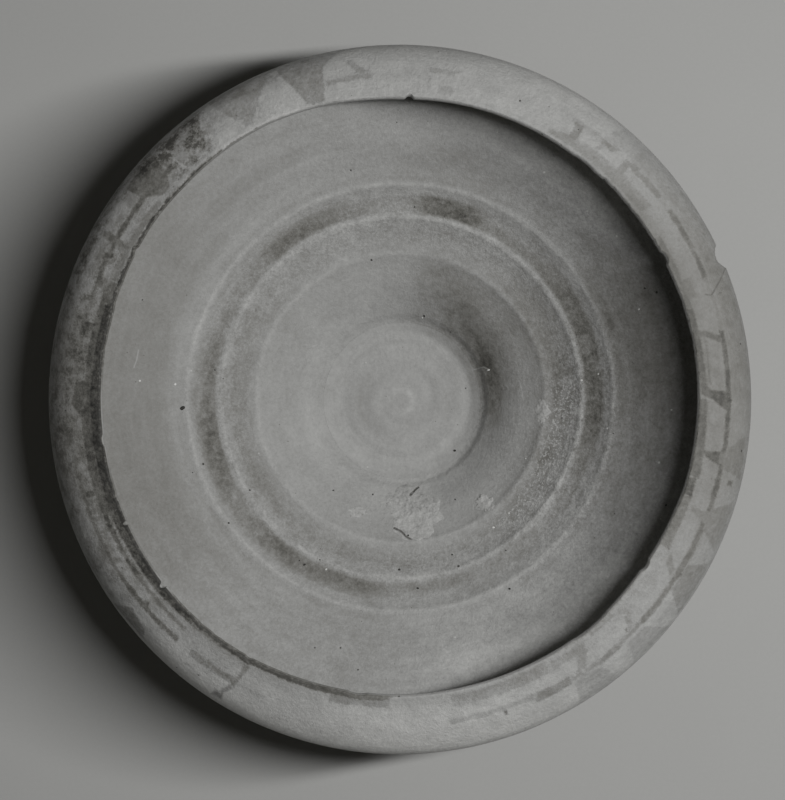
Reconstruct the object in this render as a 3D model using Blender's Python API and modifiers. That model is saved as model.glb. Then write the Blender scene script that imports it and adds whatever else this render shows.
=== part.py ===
"""Wide pottery bowl on a hollow ring foot, with an inturned shoulder.

The bowl is built the way a potter joins it. A floor disc closes the well in
the middle, a thrown wall with three throwing ridges rises round it, an
inturned shoulder ends in a thin lip, and a foot ring stands under the well.
Each member is one turned solid, and each meets its neighbour at a luted
joint, a slip seam as thin as LUTE_GAP.

The first three members share one section: an inner line that runs from the
centre of the floor, up the well, over the wall and round the keel to the lip,
and a thickness square to that line. The foot ring seats on the outside of the
same section.

Metres, +Z up. The axis of the bowl is Z, and the foot stands on Z = 0.
"""

import math

import bpy

# The mouth and the keel
LIP_HEIGHT = 0.102            # top of the lip above the table
LIP_RADIUS = 0.1255           # inner edge of the mouth
LIP_SLOPE = 27.0              # how flat the shoulder ends, degrees above level
KEEL_RADIUS = 0.150           # widest point, outside
KEEL_HEIGHT = 0.0795          # height of the widest point
SEAT_INSET = 0.0035           # how far the inner wall is in at the shoulder's joint

# The wall, on its inner face
WALL_RADIUS = 0.110           # halfway up the open wall
WALL_HEIGHT = 0.0550
WALL_SLOPE = 25.0
SHELF_RADIUS = 0.064          # the flattest stretch, round the well
SHELF_HEIGHT = 0.0365
SHELF_SLOPE = 20.0

# The well in the floor
WELL_TOP_RADIUS = 0.0430
WELL_TOP_HEIGHT = 0.0250
WELL_TOP_SLOPE = 44.0
WELL_FLOOR_RADIUS = 0.0345
WELL_FLOOR_DISH = 0.0006      # how much the floor rises from its centre to its edge
WELL_FLOOR_SLOPE = 9.0
FLOOR_HEIGHT = 0.0140         # top of the floor at the centre

# Thicknesses, square to the inner line
FLOOR_THICKNESS = 0.0080
WALL_THICKNESS = 0.0080
LIP_THICKNESS = 0.0026

# Throwing ridges, raised crests left between the potter's finger grooves
RIDGE_RADII = (0.0632, 0.0785, 0.0925)
RIDGE_RISE = 0.0009
RIDGE_HALF_WIDTH = 0.0017

# The foot ring
FOOT_RADIUS = 0.0485          # outer edge on the table
FOOT_WIDTH = 0.0085           # width of the ring on the table
FOOT_WAIST = 0.0015           # how much the side draws in above the table
FOOT_SEAT_RADIUS = 0.0515     # where the ring's outer side runs into the wall
FOOT_LAND = 0.0010            # thickness of the ring's upper edge
FOOT_EDGE = 0.0012            # bevel of the edges on the table

# The chip knocked out of the keel
CHIP_ANGLE = 24.0             # degrees from +X towards +Y
CHIP_LENGTH = 0.0110          # along the keel
CHIP_DEPTH = 0.0037           # into the keel
CHIP_HEIGHT = 0.0340          # of the ellipsoid that scoops the break
CHIP_RISE = 0.0010            # its centre above the keel
CHIP_ROUND = 0.0062           # its half width, inwards

LUTE_GAP = 0.0003             # slip seam between two clay members
TURNS = 64                    # facets round the bowl
MERGE = 0.00001
FINE = 24                     # bisection steps that find a radius on the line


def clear_scene():
    for thing in list(bpy.data.objects):
        bpy.data.objects.remove(thing, do_unlink=True)


def new_collection(name):
    collection = bpy.data.collections.new(name)
    bpy.context.scene.collection.children.link(collection)
    return collection


def clay(name, grey, roughness):
    """Fired clay, a plain rough surface in a faintly warm grey."""
    material = bpy.data.materials.new(name)
    material.use_nodes = True
    shader = material.node_tree.nodes["Principled BSDF"]
    shader.inputs["Base Color"].default_value = (grey, grey * 0.98, grey * 0.93, 1.0)
    shader.inputs["Roughness"].default_value = roughness
    shader.inputs["Metallic"].default_value = 0.0
    return material


# Stations of the inner line, from the centre of the floor to the lip.
# Each is a radius, a height, a slope in degrees and the thickness there.

def stations():
    lip_drop = LIP_THICKNESS * math.cos(math.radians(LIP_SLOPE))
    keel_inner = KEEL_RADIUS - WALL_THICKNESS
    return {
        "centre": (0.0, FLOOR_HEIGHT, 0.0, FLOOR_THICKNESS),
        "well_floor": (WELL_FLOOR_RADIUS, FLOOR_HEIGHT + WELL_FLOOR_DISH,
                       WELL_FLOOR_SLOPE, FLOOR_THICKNESS),
        "well_top": (WELL_TOP_RADIUS, WELL_TOP_HEIGHT, WELL_TOP_SLOPE, WALL_THICKNESS),
        "shelf": (SHELF_RADIUS, SHELF_HEIGHT, SHELF_SLOPE, WALL_THICKNESS),
        "wall": (WALL_RADIUS, WALL_HEIGHT, WALL_SLOPE, WALL_THICKNESS),
        "keel": (keel_inner, KEEL_HEIGHT, 90.0, WALL_THICKNESS),
        "lip": (LIP_RADIUS, LIP_HEIGHT - lip_drop, 180.0 - LIP_SLOPE, LIP_THICKNESS),
    }


def on_span(first, last, t):
    """A point of the cubic curve from one station to the next, 0 <= t <= 1.

    Its end tangents follow the stations' slopes and are as long as the chord.
    """
    reach = math.dist(first[:2], last[:2])
    lead = math.radians(first[2])
    trail = math.radians(last[2])
    start = (reach * math.cos(lead), reach * math.sin(lead))
    end = (reach * math.cos(trail), reach * math.sin(trail))
    blend = (2 * t**3 - 3 * t**2 + 1, t**3 - 2 * t**2 + t,
             3 * t**2 - 2 * t**3, t**3 - t**2)
    rate = (6 * t**2 - 6 * t, 3 * t**2 - 4 * t + 1, 6 * t - 6 * t**2, 3 * t**2 - 2 * t)
    place = []
    heading = []
    for axis in (0, 1):
        pulls = (first[axis], start[axis], last[axis], end[axis])
        place.append(sum(b * p for b, p in zip(blend, pulls)))
        heading.append(sum(r * p for r, p in zip(rate, pulls)))
    slope = math.degrees(math.atan2(heading[1], heading[0]))
    thickness = first[3] + (last[3] - first[3]) * t
    return (place[0], place[1], slope, thickness)


def share_at(first, last, radius):
    """How far along a span a radius lies, where the radius only grows."""
    low, high = 0.0, 1.0
    for _ in range(FINE):
        middle = (low + high) / 2
        if on_span(first, last, middle)[0] < radius:
            low = middle
        else:
            high = middle
    return (low + high) / 2


def along(first, last, count, start=0.0, end=1.0):
    """Evenly stepped points of a span or of a share of it, without the last."""
    return [on_span(first, last, start + (end - start) * step / count)
            for step in range(count)]


def ridged(first, last, count):
    """Points of a span of the wall, with three extra ones at each ridge."""
    feet = [radius + side * RIDGE_HALF_WIDTH for radius in RIDGE_RADII for side in (-1, 0, 1)]
    inside = [radius for radius in feet if first[0] < radius < last[0]]
    plain = [point for point in along(first, last, count)
             if all(abs(point[0] - radius) > RIDGE_HALF_WIDTH / 2 for radius in inside)
             or point[0] == first[0]]
    extra = [on_span(first, last, share_at(first, last, radius)) for radius in inside]
    return sorted(plain + extra)


def ridge_rise(radius):
    """Height of the ridges above the plain wall: a crest that falls off straight."""
    return sum(RIDGE_RISE * max(0.0, 1 - abs(radius - crest) / RIDGE_HALF_WIDTH)
               for crest in RIDGE_RADII)


def on_ridge(radius):
    """Whether a radius lies on a ridge or at its foot."""
    return any(abs(radius - crest) < RIDGE_HALF_WIDTH + MERGE for crest in RIDGE_RADII)


def move(point, ahead=0.0, outward=0.0):
    """A point moved along the inner line and square to it, as (radius, height)."""
    slope = math.radians(point[2])
    return (point[0] + ahead * math.cos(slope) + outward * math.sin(slope),
            point[1] + ahead * math.sin(slope) - outward * math.cos(slope))


def seat_share(line):
    """Where the shoulder's joint lies, between the wall and the keel."""
    return share_at(line["wall"], line["keel"], line["keel"][0] - SEAT_INSET)


def shell_outline(points, start_gap, end_gap):
    """Outline of one clay member: out along its inner face, back along its outer.

    The gaps shorten the member at its luted joints. The ridges are on the
    inner face alone, so the outer face leaves their points out.
    """
    last = len(points) - 1
    shifts = [0.0] * len(points)
    shifts[0] = start_gap
    shifts[last] = -end_gap
    inner = []
    outer = []
    for index, (point, shift) in enumerate(zip(points, shifts)):
        inner.append(move(point, ahead=shift, outward=-ridge_rise(point[0])))
        if index in (0, last) or not on_ridge(point[0]):
            outer.append(move(point, ahead=shift, outward=point[3]))
    return inner + outer[::-1]


def turned(name, outline, closed, material, collection):
    """A solid turned round Z from an outline at +X, by a Screw modifier.

    The outline runs down its outer side. A closed one makes a ring, and an
    open one starts and ends on the axis.
    """
    count = len(outline)
    edges = [(i, i + 1) for i in range(count - 1)]
    if closed:
        edges.append((count - 1, 0))
    mesh = bpy.data.meshes.new(name)
    mesh.from_pydata([(radius, 0.0, height) for radius, height in outline], edges, [])
    mesh.materials.append(material)
    solid = bpy.data.objects.new(name, mesh)
    collection.objects.link(solid)
    screw = solid.modifiers.new("turn", "SCREW")
    screw.axis = "Z"
    screw.steps = TURNS
    screw.render_steps = TURNS
    screw.use_merge_vertices = True
    screw.merge_threshold = MERGE
    screw.use_smooth_shade = True
    return solid


def base_disc(line, collection):
    """The floor of the well: a slightly dished disc, luted into the wall."""
    points = along(line["centre"], line["well_floor"], 4) + [line["well_floor"]]
    outline = shell_outline(points, 0.0, LUTE_GAP / 2)
    return turned("base_disc", outline, False, clay("floor_clay", 0.30, 0.85), collection)


def wall_points(line):
    """Points of the inner line from the well's floor to the joint under the keel."""
    joint = seat_share(line)
    points = along(line["well_floor"], line["well_top"], 5)
    points += ridged(line["well_top"], line["shelf"], 4)
    points += ridged(line["shelf"], line["wall"], 5)
    points += along(line["wall"], line["keel"], 5, 0.0, joint)
    points.append(on_span(line["wall"], line["keel"], joint))
    return points


def bowl_wall(line, collection):
    """The thrown wall, from the well's floor to the joint under the keel."""
    outline = shell_outline(wall_points(line), LUTE_GAP / 2, LUTE_GAP / 2)
    return turned("bowl_wall", outline, True, clay("wall_clay", 0.28, 0.88), collection)


def shoulder_rim(line, collection):
    """The inturned shoulder, from the joint under the keel to the thin lip."""
    points = along(line["wall"], line["keel"], 3, seat_share(line), 1.0)
    points += along(line["keel"], line["lip"], 6) + [line["lip"]]
    outline = shell_outline(points, LUTE_GAP / 2, 0.0)
    return turned("shoulder_rim", outline, True, clay("shoulder_clay", 0.29, 0.80), collection)


def stretch(outline, low, high):
    """The part of an outline between two radii, cut square across its chords."""
    kept = []
    for start, end in zip(outline, outline[1:]):
        for radius in (low, high):
            if start[0] < radius <= end[0]:
                share = (radius - start[0]) / (end[0] - start[0])
                kept.append((radius, start[1] + share * (end[1] - start[1])))
        if low < end[0] < high:
            kept.append(end)
    return sorted(kept)


def foot_ring(line, collection):
    """The ring under the well. Its top follows the outside of the wall."""
    inner_radius = FOOT_RADIUS - FOOT_WIDTH
    underside = [move(point, outward=point[3] + LUTE_GAP)
                 for point in wall_points(line) if not on_ridge(point[0])]
    seat = stretch(underside, inner_radius, FOOT_SEAT_RADIUS)
    crown = seat[-1]
    rise = crown[1] - FOOT_EDGE
    side = []
    for step in range(4):
        share = step / 3
        flare = (crown[0] - FOOT_RADIUS) * share**3
        waist = FOOT_WAIST * math.sin(math.pi * share)
        height = FOOT_EDGE + (rise - FOOT_LAND) * share
        side.append((FOOT_RADIUS + flare - waist, height))
    outline = seat + side[::-1]
    outline += [(FOOT_RADIUS - FOOT_EDGE, 0.0), (inner_radius + FOOT_EDGE, 0.0),
                (inner_radius, FOOT_EDGE)]
    return turned("foot_ring", outline, True, clay("foot_clay", 0.27, 0.90), collection)


def chip_keel(rim, collection):
    """Scoop the old break out of the keel with a hidden ellipsoid."""
    reach = CHIP_ROUND - CHIP_DEPTH
    half_length = CHIP_LENGTH / 2 / math.sqrt(1 - (reach / CHIP_ROUND) ** 2)
    angle = math.radians(CHIP_ANGLE)
    away = KEEL_RADIUS + reach
    bpy.ops.mesh.primitive_uv_sphere_add(segments=16, ring_count=10, radius=1.0)
    cutter = bpy.context.object
    cutter.name = "chip_cutter"
    for vertex in cutter.data.vertices:
        x, y, z = vertex.co
        vertex.co = (x * CHIP_ROUND, y * half_length, z * CHIP_HEIGHT / 2)
    cutter.rotation_euler = (0.0, 0.0, angle)
    cutter.location = (away * math.cos(angle), away * math.sin(angle),
                       KEEL_HEIGHT + CHIP_RISE)
    for owner in list(cutter.users_collection):
        owner.objects.unlink(cutter)
    collection.objects.link(cutter)
    cutter.hide_render = True
    cutter.display_type = "WIRE"
    cut = rim.modifiers.new("chip", "BOOLEAN")
    cut.operation = "DIFFERENCE"
    cut.solver = "EXACT"
    cut.object = cutter


def main():
    clear_scene()
    bowl = new_collection("pottery_bowl")
    cutters = new_collection("cutters")
    line = stations()
    base_disc(line, bowl)
    bowl_wall(line, bowl)
    rim = shoulder_rim(line, bowl)
    foot_ring(line, bowl)
    chip_keel(rim, cutters)


main()
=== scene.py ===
# %% [markdown]
# # A painted pottery bowl, dressed for its picture
#
# A thrown pot is one section turned on a wheel, plus everything that the hand, the brush
# and the years did to it. So each surface here is a section swept round as arrays of
# points, and each mark is a field that is worked out on those points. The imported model,
# four members of fired clay, is the frame that all of it hangs on.

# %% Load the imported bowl
import math

import bpy
import numpy as np
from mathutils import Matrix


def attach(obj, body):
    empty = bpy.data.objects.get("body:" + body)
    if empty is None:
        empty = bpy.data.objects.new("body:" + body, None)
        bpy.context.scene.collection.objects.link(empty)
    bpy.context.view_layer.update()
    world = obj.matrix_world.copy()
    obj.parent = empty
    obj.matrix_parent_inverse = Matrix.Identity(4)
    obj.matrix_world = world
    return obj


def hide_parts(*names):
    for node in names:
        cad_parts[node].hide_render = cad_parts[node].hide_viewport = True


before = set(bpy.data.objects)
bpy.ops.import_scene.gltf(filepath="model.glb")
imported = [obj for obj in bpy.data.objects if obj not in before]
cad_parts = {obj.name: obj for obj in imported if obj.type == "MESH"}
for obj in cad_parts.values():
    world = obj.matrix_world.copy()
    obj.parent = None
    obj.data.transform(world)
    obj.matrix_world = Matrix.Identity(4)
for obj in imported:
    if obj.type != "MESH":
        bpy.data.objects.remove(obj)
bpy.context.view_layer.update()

# %% [markdown]
# ## Camera
#
# The photograph looks down the bowl's axis into its mouth. The keel is a circle of known
# size, so the lens is worked out from how wide that circle is in the picture. The small
# shift moves the bowl to where it stands in the frame without tilting the view.

# %% Camera on the bowl's axis
KEEL_RADIUS = 150.0           # mm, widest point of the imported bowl
KEEL_HEIGHT = 79.5            # mm above the table
CAMERA_ABOVE_KEEL = 1.6       # m
IMAGE = (785, 800)            # pixels
BOWL_WIDTH = 706              # pixels
BOWL_CENTRE = (400.0, 399.5)  # pixels from the image's upper left

pixel = 2 * KEEL_RADIUS / 1000 / BOWL_WIDTH
camera_data = bpy.data.cameras.new("camera")
camera_data.sensor_width = 36.0
camera_data.lens = 36.0 * CAMERA_ABOVE_KEEL / (max(IMAGE) * pixel)
camera_data.shift_x = (IMAGE[0] / 2 - BOWL_CENTRE[0]) / max(IMAGE)
camera_data.shift_y = (BOWL_CENTRE[1] - IMAGE[1] / 2) / max(IMAGE)
camera = bpy.data.objects.new("camera", camera_data)
camera.location = (0.0, 0.0, KEEL_HEIGHT / 1000 + CAMERA_ABOVE_KEEL)
bpy.context.scene.collection.objects.link(camera)
bpy.context.scene.camera = camera
bpy.context.scene.view_settings.view_transform = "Standard"
print("lens:", round(camera_data.lens, 1), "mm, one pixel is", round(1000 * pixel, 3), "mm")

# %% [markdown]
# ## Nodes that read like sums
#
# Each material is a small network of nodes. Wiring them one link at a time hides what
# the recipe is, so an output here can be added and multiplied like a number, and each
# sum adds its own node. Lengths are in millimetres: a piece's own coordinates are scaled
# by 1000 once, and a noise of size 3 has blotches 3 mm wide.

# %% Wires and recipes
SPECULAR = 0.25                  # level of dry clay
DARK_TINT = (1.03, 1.0, 0.90)    # colour of the greys, by their share of light
LIGHT_TINT = (1.0, 1.0, 0.975)


class Wire:
    """The output of a node. Sums and products of wires add the nodes that work them out."""

    def __init__(self, mix, socket):
        self.mix, self.socket = mix, socket

    def __add__(self, other):
        return self.mix.calc("ADD", self, other)

    def __mul__(self, other):
        return self.mix.calc("MULTIPLY", self, other)

    def __sub__(self, other):
        return self.mix.calc("SUBTRACT", self, other)

    def __rsub__(self, other):
        return self.mix.calc("SUBTRACT", other, self)

    __radd__, __rmul__ = __add__, __mul__

    def beside(self, output):
        """Another output of the same node."""
        return Wire(self.mix, self.socket.node.outputs[output])


class Recipe:
    """A network of nodes in the making. Each method adds a node and returns a wire."""

    def __init__(self, tree):
        self.tree = tree

    def feed(self, socket, value):
        if isinstance(value, Wire):
            self.tree.links.new(value.socket, socket)
        else:
            socket.default_value = value

    def run(self, kind, inputs, output=0, **settings):
        """Any node, with its inputs by name or number, and the output that is wanted."""
        node = self.tree.nodes.new(kind)
        for name, value in settings.items():
            setattr(node, name, value)
        for name, value in inputs.items():
            self.feed(node.inputs[name], value)
        return Wire(self, node.outputs[output])

    def calc(self, operation, *values, clamp=False):
        return self.run("ShaderNodeMath", dict(enumerate(values)), operation=operation,
                        use_clamp=clamp)

    def ramp(self, value, low, high, start=0.0, end=1.0):
        """Smooth step: start below low, end above high, and a soft S between."""
        inputs = dict(enumerate((value, low, high, start, end)))
        return self.run("ShaderNodeMapRange", inputs, "Result", interpolation_type="SMOOTHSTEP")

    def blend(self, share, a, b):
        """One colour that turns into another as the share goes from 0 to 1."""
        inputs = {"Factor": share, "A": (*a, 1.0), "B": (*b, 1.0)}
        return self.run("ShaderNodeMix", inputs, "Result", data_type="RGBA")

    def ray(self, kind):
        """1 for rays of a kind, such as Camera."""
        return self.run("ShaderNodeLightPath", {}, f"Is {kind} Ray")


def cover(grey, mask, other):
    """Grey that turns into another where a mask is 1."""
    return grey + (other - grey) * mask


# %% Finishes with noise, grains and strokes
GRAIN_EDGE = 0.12                # mm, soft edge of a grain


class Finish(Recipe):
    """The finish of a piece, laid out in the piece's own coordinates, in mm."""

    def __init__(self, name, roughness, specular=SPECULAR):
        self.material = bpy.data.materials.new(name)
        self.material.use_nodes = True
        super().__init__(self.material.node_tree)
        self.shader = self.tree.nodes["Principled BSDF"]
        self.shader.inputs["Roughness"].default_value = roughness
        self.shader.inputs["Specular IOR Level"].default_value = specular
        own = self.run("ShaderNodeTexCoord", {}, "Object")
        self.place = self.vector("SCALE", own, scale=1000.0)

    def vector(self, operation, *values, scale=None):
        inputs = dict(enumerate(values))
        if scale is not None:
            inputs["Scale"] = scale
        output = "Value" if operation in ("LENGTH", "DOT_PRODUCT") else "Vector"
        return self.run("ShaderNodeVectorMath", inputs, output, operation=operation)

    def mark(self, name):
        """A field that was worked out on the piece's points."""
        return self.run("ShaderNodeAttribute", {}, "Fac", attribute_name=name)

    def clouds(self, where, scale, detail, rough):
        """Noise around 0, from -0.5 to 0.5."""
        inputs = {"Vector": where, "Scale": scale, "Detail": detail, "Roughness": rough}
        return self.run("ShaderNodeTexNoise", inputs) - 0.5

    def noise(self, size, detail=4.0, rough=0.55, shift=0.0):
        """Cloudy noise with blotches of a size in mm."""
        where = self.vector("ADD", self.place, (shift, 2 * shift, 3 * shift))
        return self.clouds(where, 1 / size, detail, rough)

    def around(self, size, count, detail=2.0, rough=0.6):
        """Noise drawn out round the axis, as a wheel draws it.

        Its three coordinates are the distance from the axis less the height, over the
        size, and the direction's cosine and sine, times the count over a turn. It fades
        near the axis, where the lines would meet as a star.
        """
        flat = self.vector("MULTIPLY", self.place, (1.0, 1.0, 0.0))
        out = self.vector("LENGTH", flat)
        way = self.vector("SCALE", self.vector("NORMALIZE", flat), scale=count / (2 * math.pi))
        height = self.run("ShaderNodeSeparateXYZ", {0: self.place}, 2)
        across = self.run("ShaderNodeCombineXYZ", {2: (out - height) * (1 / size)})
        lines = self.clouds(self.vector("ADD", way, across), 1.0, detail, rough)
        return lines * self.ramp(out, 6.0, 30.0)

    def grains(self, spacing, radius, share, shift=0.0):
        """Round grains or pits: 1 inside, 0 outside.

        Space is split into cells. Each cell has one centre and a random size, and a
        share of the cells has a grain at all.
        """
        where = self.vector("ADD", self.place, (shift, shift, 2 * shift))
        gap = self.run("ShaderNodeTexVoronoi", {"Vector": where, "Scale": 1 / spacing}, "Distance")
        chance = self.run("ShaderNodeSeparateColor", {0: gap.beside("Color")})
        size = chance * (radius / share) + radius * (1 - 1 / share)
        return self.calc("MULTIPLY", size - gap * spacing, 1 / GRAIN_EDGE, clamp=True)

    def stroke(self, points, width, soft=0.3):
        """A thin line through places in XY, in mm: 1 on the line and 0 beside it.

        The distance to each stretch a-b is that of p to a + (b - a) h, where h is the
        share of the way, (p - a) . (b - a) over the length squared, kept from 0 to 1.
        """
        flat = self.vector("MULTIPLY", self.place, (1.0, 1.0, 0.0))
        nearest = None
        for a, b in zip(points, points[1:]):
            way = (b[0] - a[0], b[1] - a[1], 0.0)
            away = self.vector("SUBTRACT", flat, (*a, 0.0))
            share = self.calc("MULTIPLY", self.vector("DOT_PRODUCT", away, way),
                              1 / (way[0] ** 2 + way[1] ** 2), clamp=True)
            back = self.vector("SCALE", way, scale=share)
            gap = self.vector("LENGTH", self.vector("SUBTRACT", away, back))
            nearest = gap if nearest is None else self.calc("MINIMUM", nearest, gap)
        return self.ramp(nearest, width / 2 + soft, width / 2 - soft)

    def finish(self, grey, relief):
        """Tint the grey, warmer where it is dark, and raise the relief, in mm."""
        tint = self.blend(self.ramp(grey, 0.05, 0.30), DARK_TINT, LIGHT_TINT)
        self.feed(self.shader.inputs["Base Color"], self.vector("SCALE", tint, scale=grey))
        bump = self.run("ShaderNodeBump", {"Distance": 0.001, "Height": relief}, "Normal")
        self.feed(self.shader.inputs["Normal"], bump)
        return self.material


# %% [markdown]
# ## Window, sky and paper
#
# The light comes from a tall window to the right: the right-hand lip throws a shadow
# that softens slowly towards the well, and the left-hand shoulder is dark. A long, narrow
# lamp that leans from high to low gives both, and a dim warm sky keeps the shadows from
# going black.

# %% Lamp and sky
LEAN, TURN = math.radians(27.5), math.radians(8.0)    # off the axis, and from +X
LAMP_AWAY, LAMP_TALL, LAMP_WIDE = 1.4, 1.0, 0.08      # m
LAMP_POWER = 21.3                                     # W
SKY_LIGHT = (0.034, 0.033, 0.029)    # what the sky gives the bowl
SKY_SEEN = (0.33, 0.33, 0.325)       # what the camera sees of it
SKY_IN_GLOSS = 0.3                   # share of that in reflections

lamp_data = bpy.data.lights.new("window", "AREA")
lamp_data.shape = "RECTANGLE"
lamp_data.size, lamp_data.size_y = LAMP_TALL, LAMP_WIDE
lamp_data.energy = LAMP_POWER
lamp = bpy.data.objects.new("window", lamp_data)
lamp.location = (LAMP_AWAY * math.sin(LEAN) * math.cos(TURN),
                 LAMP_AWAY * math.sin(LEAN) * math.sin(TURN),
                 LAMP_AWAY * math.cos(LEAN) + KEEL_HEIGHT / 1000)
lamp.rotation_euler = (0.0, LEAN, TURN)
bpy.context.scene.collection.objects.link(lamp)

world = bpy.data.worlds.new("studio")
world.use_nodes = True
bpy.context.scene.world = world
sky = Recipe(world.node_tree)
direct = sky.calc("MAXIMUM", sky.ray("Camera"), sky.ray("Transmission"))
shown = sky.calc("MULTIPLY_ADD", sky.ray("Glossy"), SKY_IN_GLOSS, direct, clamp=True)
sky.feed(sky.tree.nodes["Background"].inputs["Color"], sky.blend(shown, SKY_LIGHT, SKY_SEEN))
print("lamp at, m:", [round(value, 2) for value in lamp.location])

# %% [markdown]
# The bowl lies on plain pale paper. A perfectly even sheet looks like fog, so a faint
# cloudiness and a fine tooth stay in it. A photographer hangs the far end of the paper
# up behind the table, so that no horizon shows. Here the far paper takes the grey of the
# sky for the camera alone, and the paper near the bowl keeps its shadow.

# %% Paper on the table
FLOOR_HALF = 3.0                      # m
FADE_FROM, FADE_TO = 350.0, 1300.0    # mm from the bowl's axis
PAPER_GREY = 0.335

paper = Finish("paper", 0.9, specular=0.5)
cloudy = 0.03 * paper.noise(160.0, 3.0) + 0.02 * paper.noise(1.5, 3.0)
paper.finish(cloudy + PAPER_GREY, cloudy * 0.5)
near_paper = Wire(paper, paper.shader.outputs[0])
far_paper = paper.run("ShaderNodeEmission", {"Color": (*SKY_SEEN, 1.0)})
fade = paper.ramp(paper.vector("LENGTH", paper.place), FADE_FROM, FADE_TO) * paper.ray("Camera")
turned = paper.run("ShaderNodeMixShader", {0: fade, 1: near_paper, 2: far_paper})
paper.feed(paper.tree.nodes["Material Output"].inputs["Surface"], turned)
floor_mesh = bpy.data.meshes.new("table")
corners = [(x * FLOOR_HALF, y * FLOOR_HALF, 0.0) for x, y in ((-1, -1), (1, -1), (1, 1), (-1, 1))]
floor_mesh.from_pydata(corners, [], [(0, 1, 2, 3)])
floor_mesh.materials.append(paper.material)
floor = bpy.data.objects.new("table", floor_mesh)
bpy.context.scene.collection.objects.link(floor)
print("table:", 2 * FLOOR_HALF, "m square")

# %% [markdown]
# ## The section of the bowl
#
# A potter thinks of a bowl as one line drawn by the finger inside it, and a thickness
# of clay outside that line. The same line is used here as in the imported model, so the
# dressed surfaces lie where the solid ones are: a cubic curve from station to
# station, whose slope at each station is given.

# %% Stations of the inner line
# radius mm, height mm, slope in degrees, thickness mm
STATIONS = {
    "centre": (0.0, 14.0, 0.0, 8.0),
    "well_floor": (28.0, 14.3, 4.0, 8.0),
    "well_step": (40.0, 21.0, 45.0, 8.0),
    "shelf": (64.0, 36.4, 20.0, 8.0),
    "wall": (110.0, 55.0, 25.0, 8.0),
    "keel": (142.0, 79.5, 90.0, 8.0),
    "lip": (125.5, 99.683, 153.0, 2.6),
}
WELL_JOINT = 34.5       # mm, inner radius where the wall is luted to the floor disc
JOINT_RADIUS = 138.5    # mm, inner radius where the shoulder is luted to the wall
LIP_HEIGHT = 102.0      # mm
SPAN_POINTS = 400       # points of the line from one station to the next


def span(first, last, share):
    """Cubic curve between two stations at the given shares of the way.

    Place is the Hermite blend of both places and both slopes, with tangents as long
    as the chord. Thickness changes evenly. Columns: radius, height, slope, thickness.
    """
    a, b = np.array(STATIONS[first]), np.array(STATIONS[last])
    t = np.asarray(share)[:, None]
    reach = np.hypot(*(b[:2] - a[:2]))
    lead, trail = np.radians((a[2], b[2]))
    start = reach * np.array((np.cos(lead), np.sin(lead)))
    end = reach * np.array((np.cos(trail), np.sin(trail)))
    place = ((2 * t**3 - 3 * t**2 + 1) * a[:2] + (t**3 - 2 * t**2 + t) * start
             + (3 * t**2 - 2 * t**3) * b[:2] + (t**3 - t**2) * end)
    heading = ((6 * t**2 - 6 * t) * a[:2] + (3 * t**2 - 4 * t + 1) * start
               + (6 * t - 6 * t**2) * b[:2] + (3 * t**2 - 2 * t) * end)
    slope = np.arctan2(heading[:, 1], heading[:, 0])
    return np.column_stack([place, slope, a[3] + (b[3] - a[3]) * t[:, 0]])


def inner_line(names):
    """The line through several stations."""
    shares = np.linspace(0, 1, SPAN_POINTS, endpoint=False)
    parts = [span(first, last, shares) for first, last in zip(names, names[1:])]
    return np.vstack(parts + [span(names[-2], names[-1], [1.0])])


def lengths(line):
    """Distance along a line to each of its points."""
    steps = np.hypot(np.diff(line[:, 0]), np.diff(line[:, 1]))
    return np.concatenate([[0.0], np.cumsum(steps)])


def pick(line, stops):
    """Radius, height, slope and thickness of a line at distances along it."""
    far = lengths(line)
    return [np.interp(stops, far, column) for column in line.T]


def square_to(radius, height, slope, distance):
    """A point moved square to the line, inwards and up by a distance in mm."""
    return radius - distance * np.sin(slope), height + distance * np.cos(slope)


WHOLE = inner_line(list(STATIONS))
print("inner line:", round(lengths(WHOLE)[-1], 1), "mm from the centre to the lip")

# %% [markdown]
# ## What the hand did
#
# No thrown bowl is a perfect turn. The keel is slightly oval, each turn is centred a
# little differently, and the lip wanders. These are small fields of angle and
# height. All four members go through the same function, so they still meet.

# %% Smooth fields and steady chance
CRUMPLE_ROWS = 211


def soft_step(value, low, high):
    """0 below low, 1 above high, and the smooth S curve 3s^2 - 2s^3 between."""
    s = np.clip((value - low) / (high - low), 0.0, 1.0)
    return s * s * (3 - 2 * s)


def ripple(theta, cells, seed):
    """Smooth random waves round the bowl, from -1 to 1.

    One random value stands at each of the evenly spaced cells, and the smooth S curve
    leads from one to the next. The last cell leads back to the first.
    """
    values = np.random.default_rng(seed).uniform(-1, 1, cells)
    place = (theta / (2 * np.pi) % 1.0) * cells
    low = np.floor(place).astype(int)
    s = soft_step(place - low, 0.0, 1.0)
    return values[low % cells] * (1 - s) + values[(low + 1) % cells] * s


def crumple(theta, across, cells, step, seed):
    """Smooth random bumps on the surface, from -1 to 1.

    Like a ripple, with a second direction: rows of cells, one step in mm apart.
    """
    values = np.random.default_rng(seed).uniform(-1, 1, (CRUMPLE_ROWS, cells))
    place = across / step
    low = np.floor(place).astype(int)
    turn = (theta / (2 * np.pi) % 1.0) * cells
    left = np.floor(turn).astype(int)
    s, t = soft_step(turn - left, 0, 1), soft_step(place - low, 0, 1)
    near, far = low % CRUMPLE_ROWS, (low + 1) % CRUMPLE_ROWS
    here = values[near, left % cells] * (1 - s) + values[near, (left + 1) % cells] * s
    there = values[far, left % cells] * (1 - s) + values[far, (left + 1) % cells] * s
    return here * (1 - t) + there * t


def round_bowl(theta, pairs):
    """A value read round the bowl from pairs of degrees and value, closed at 360."""
    degrees, values = np.array(pairs).T
    return np.interp(np.degrees(theta) % 360, degrees, values, period=360)


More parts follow.
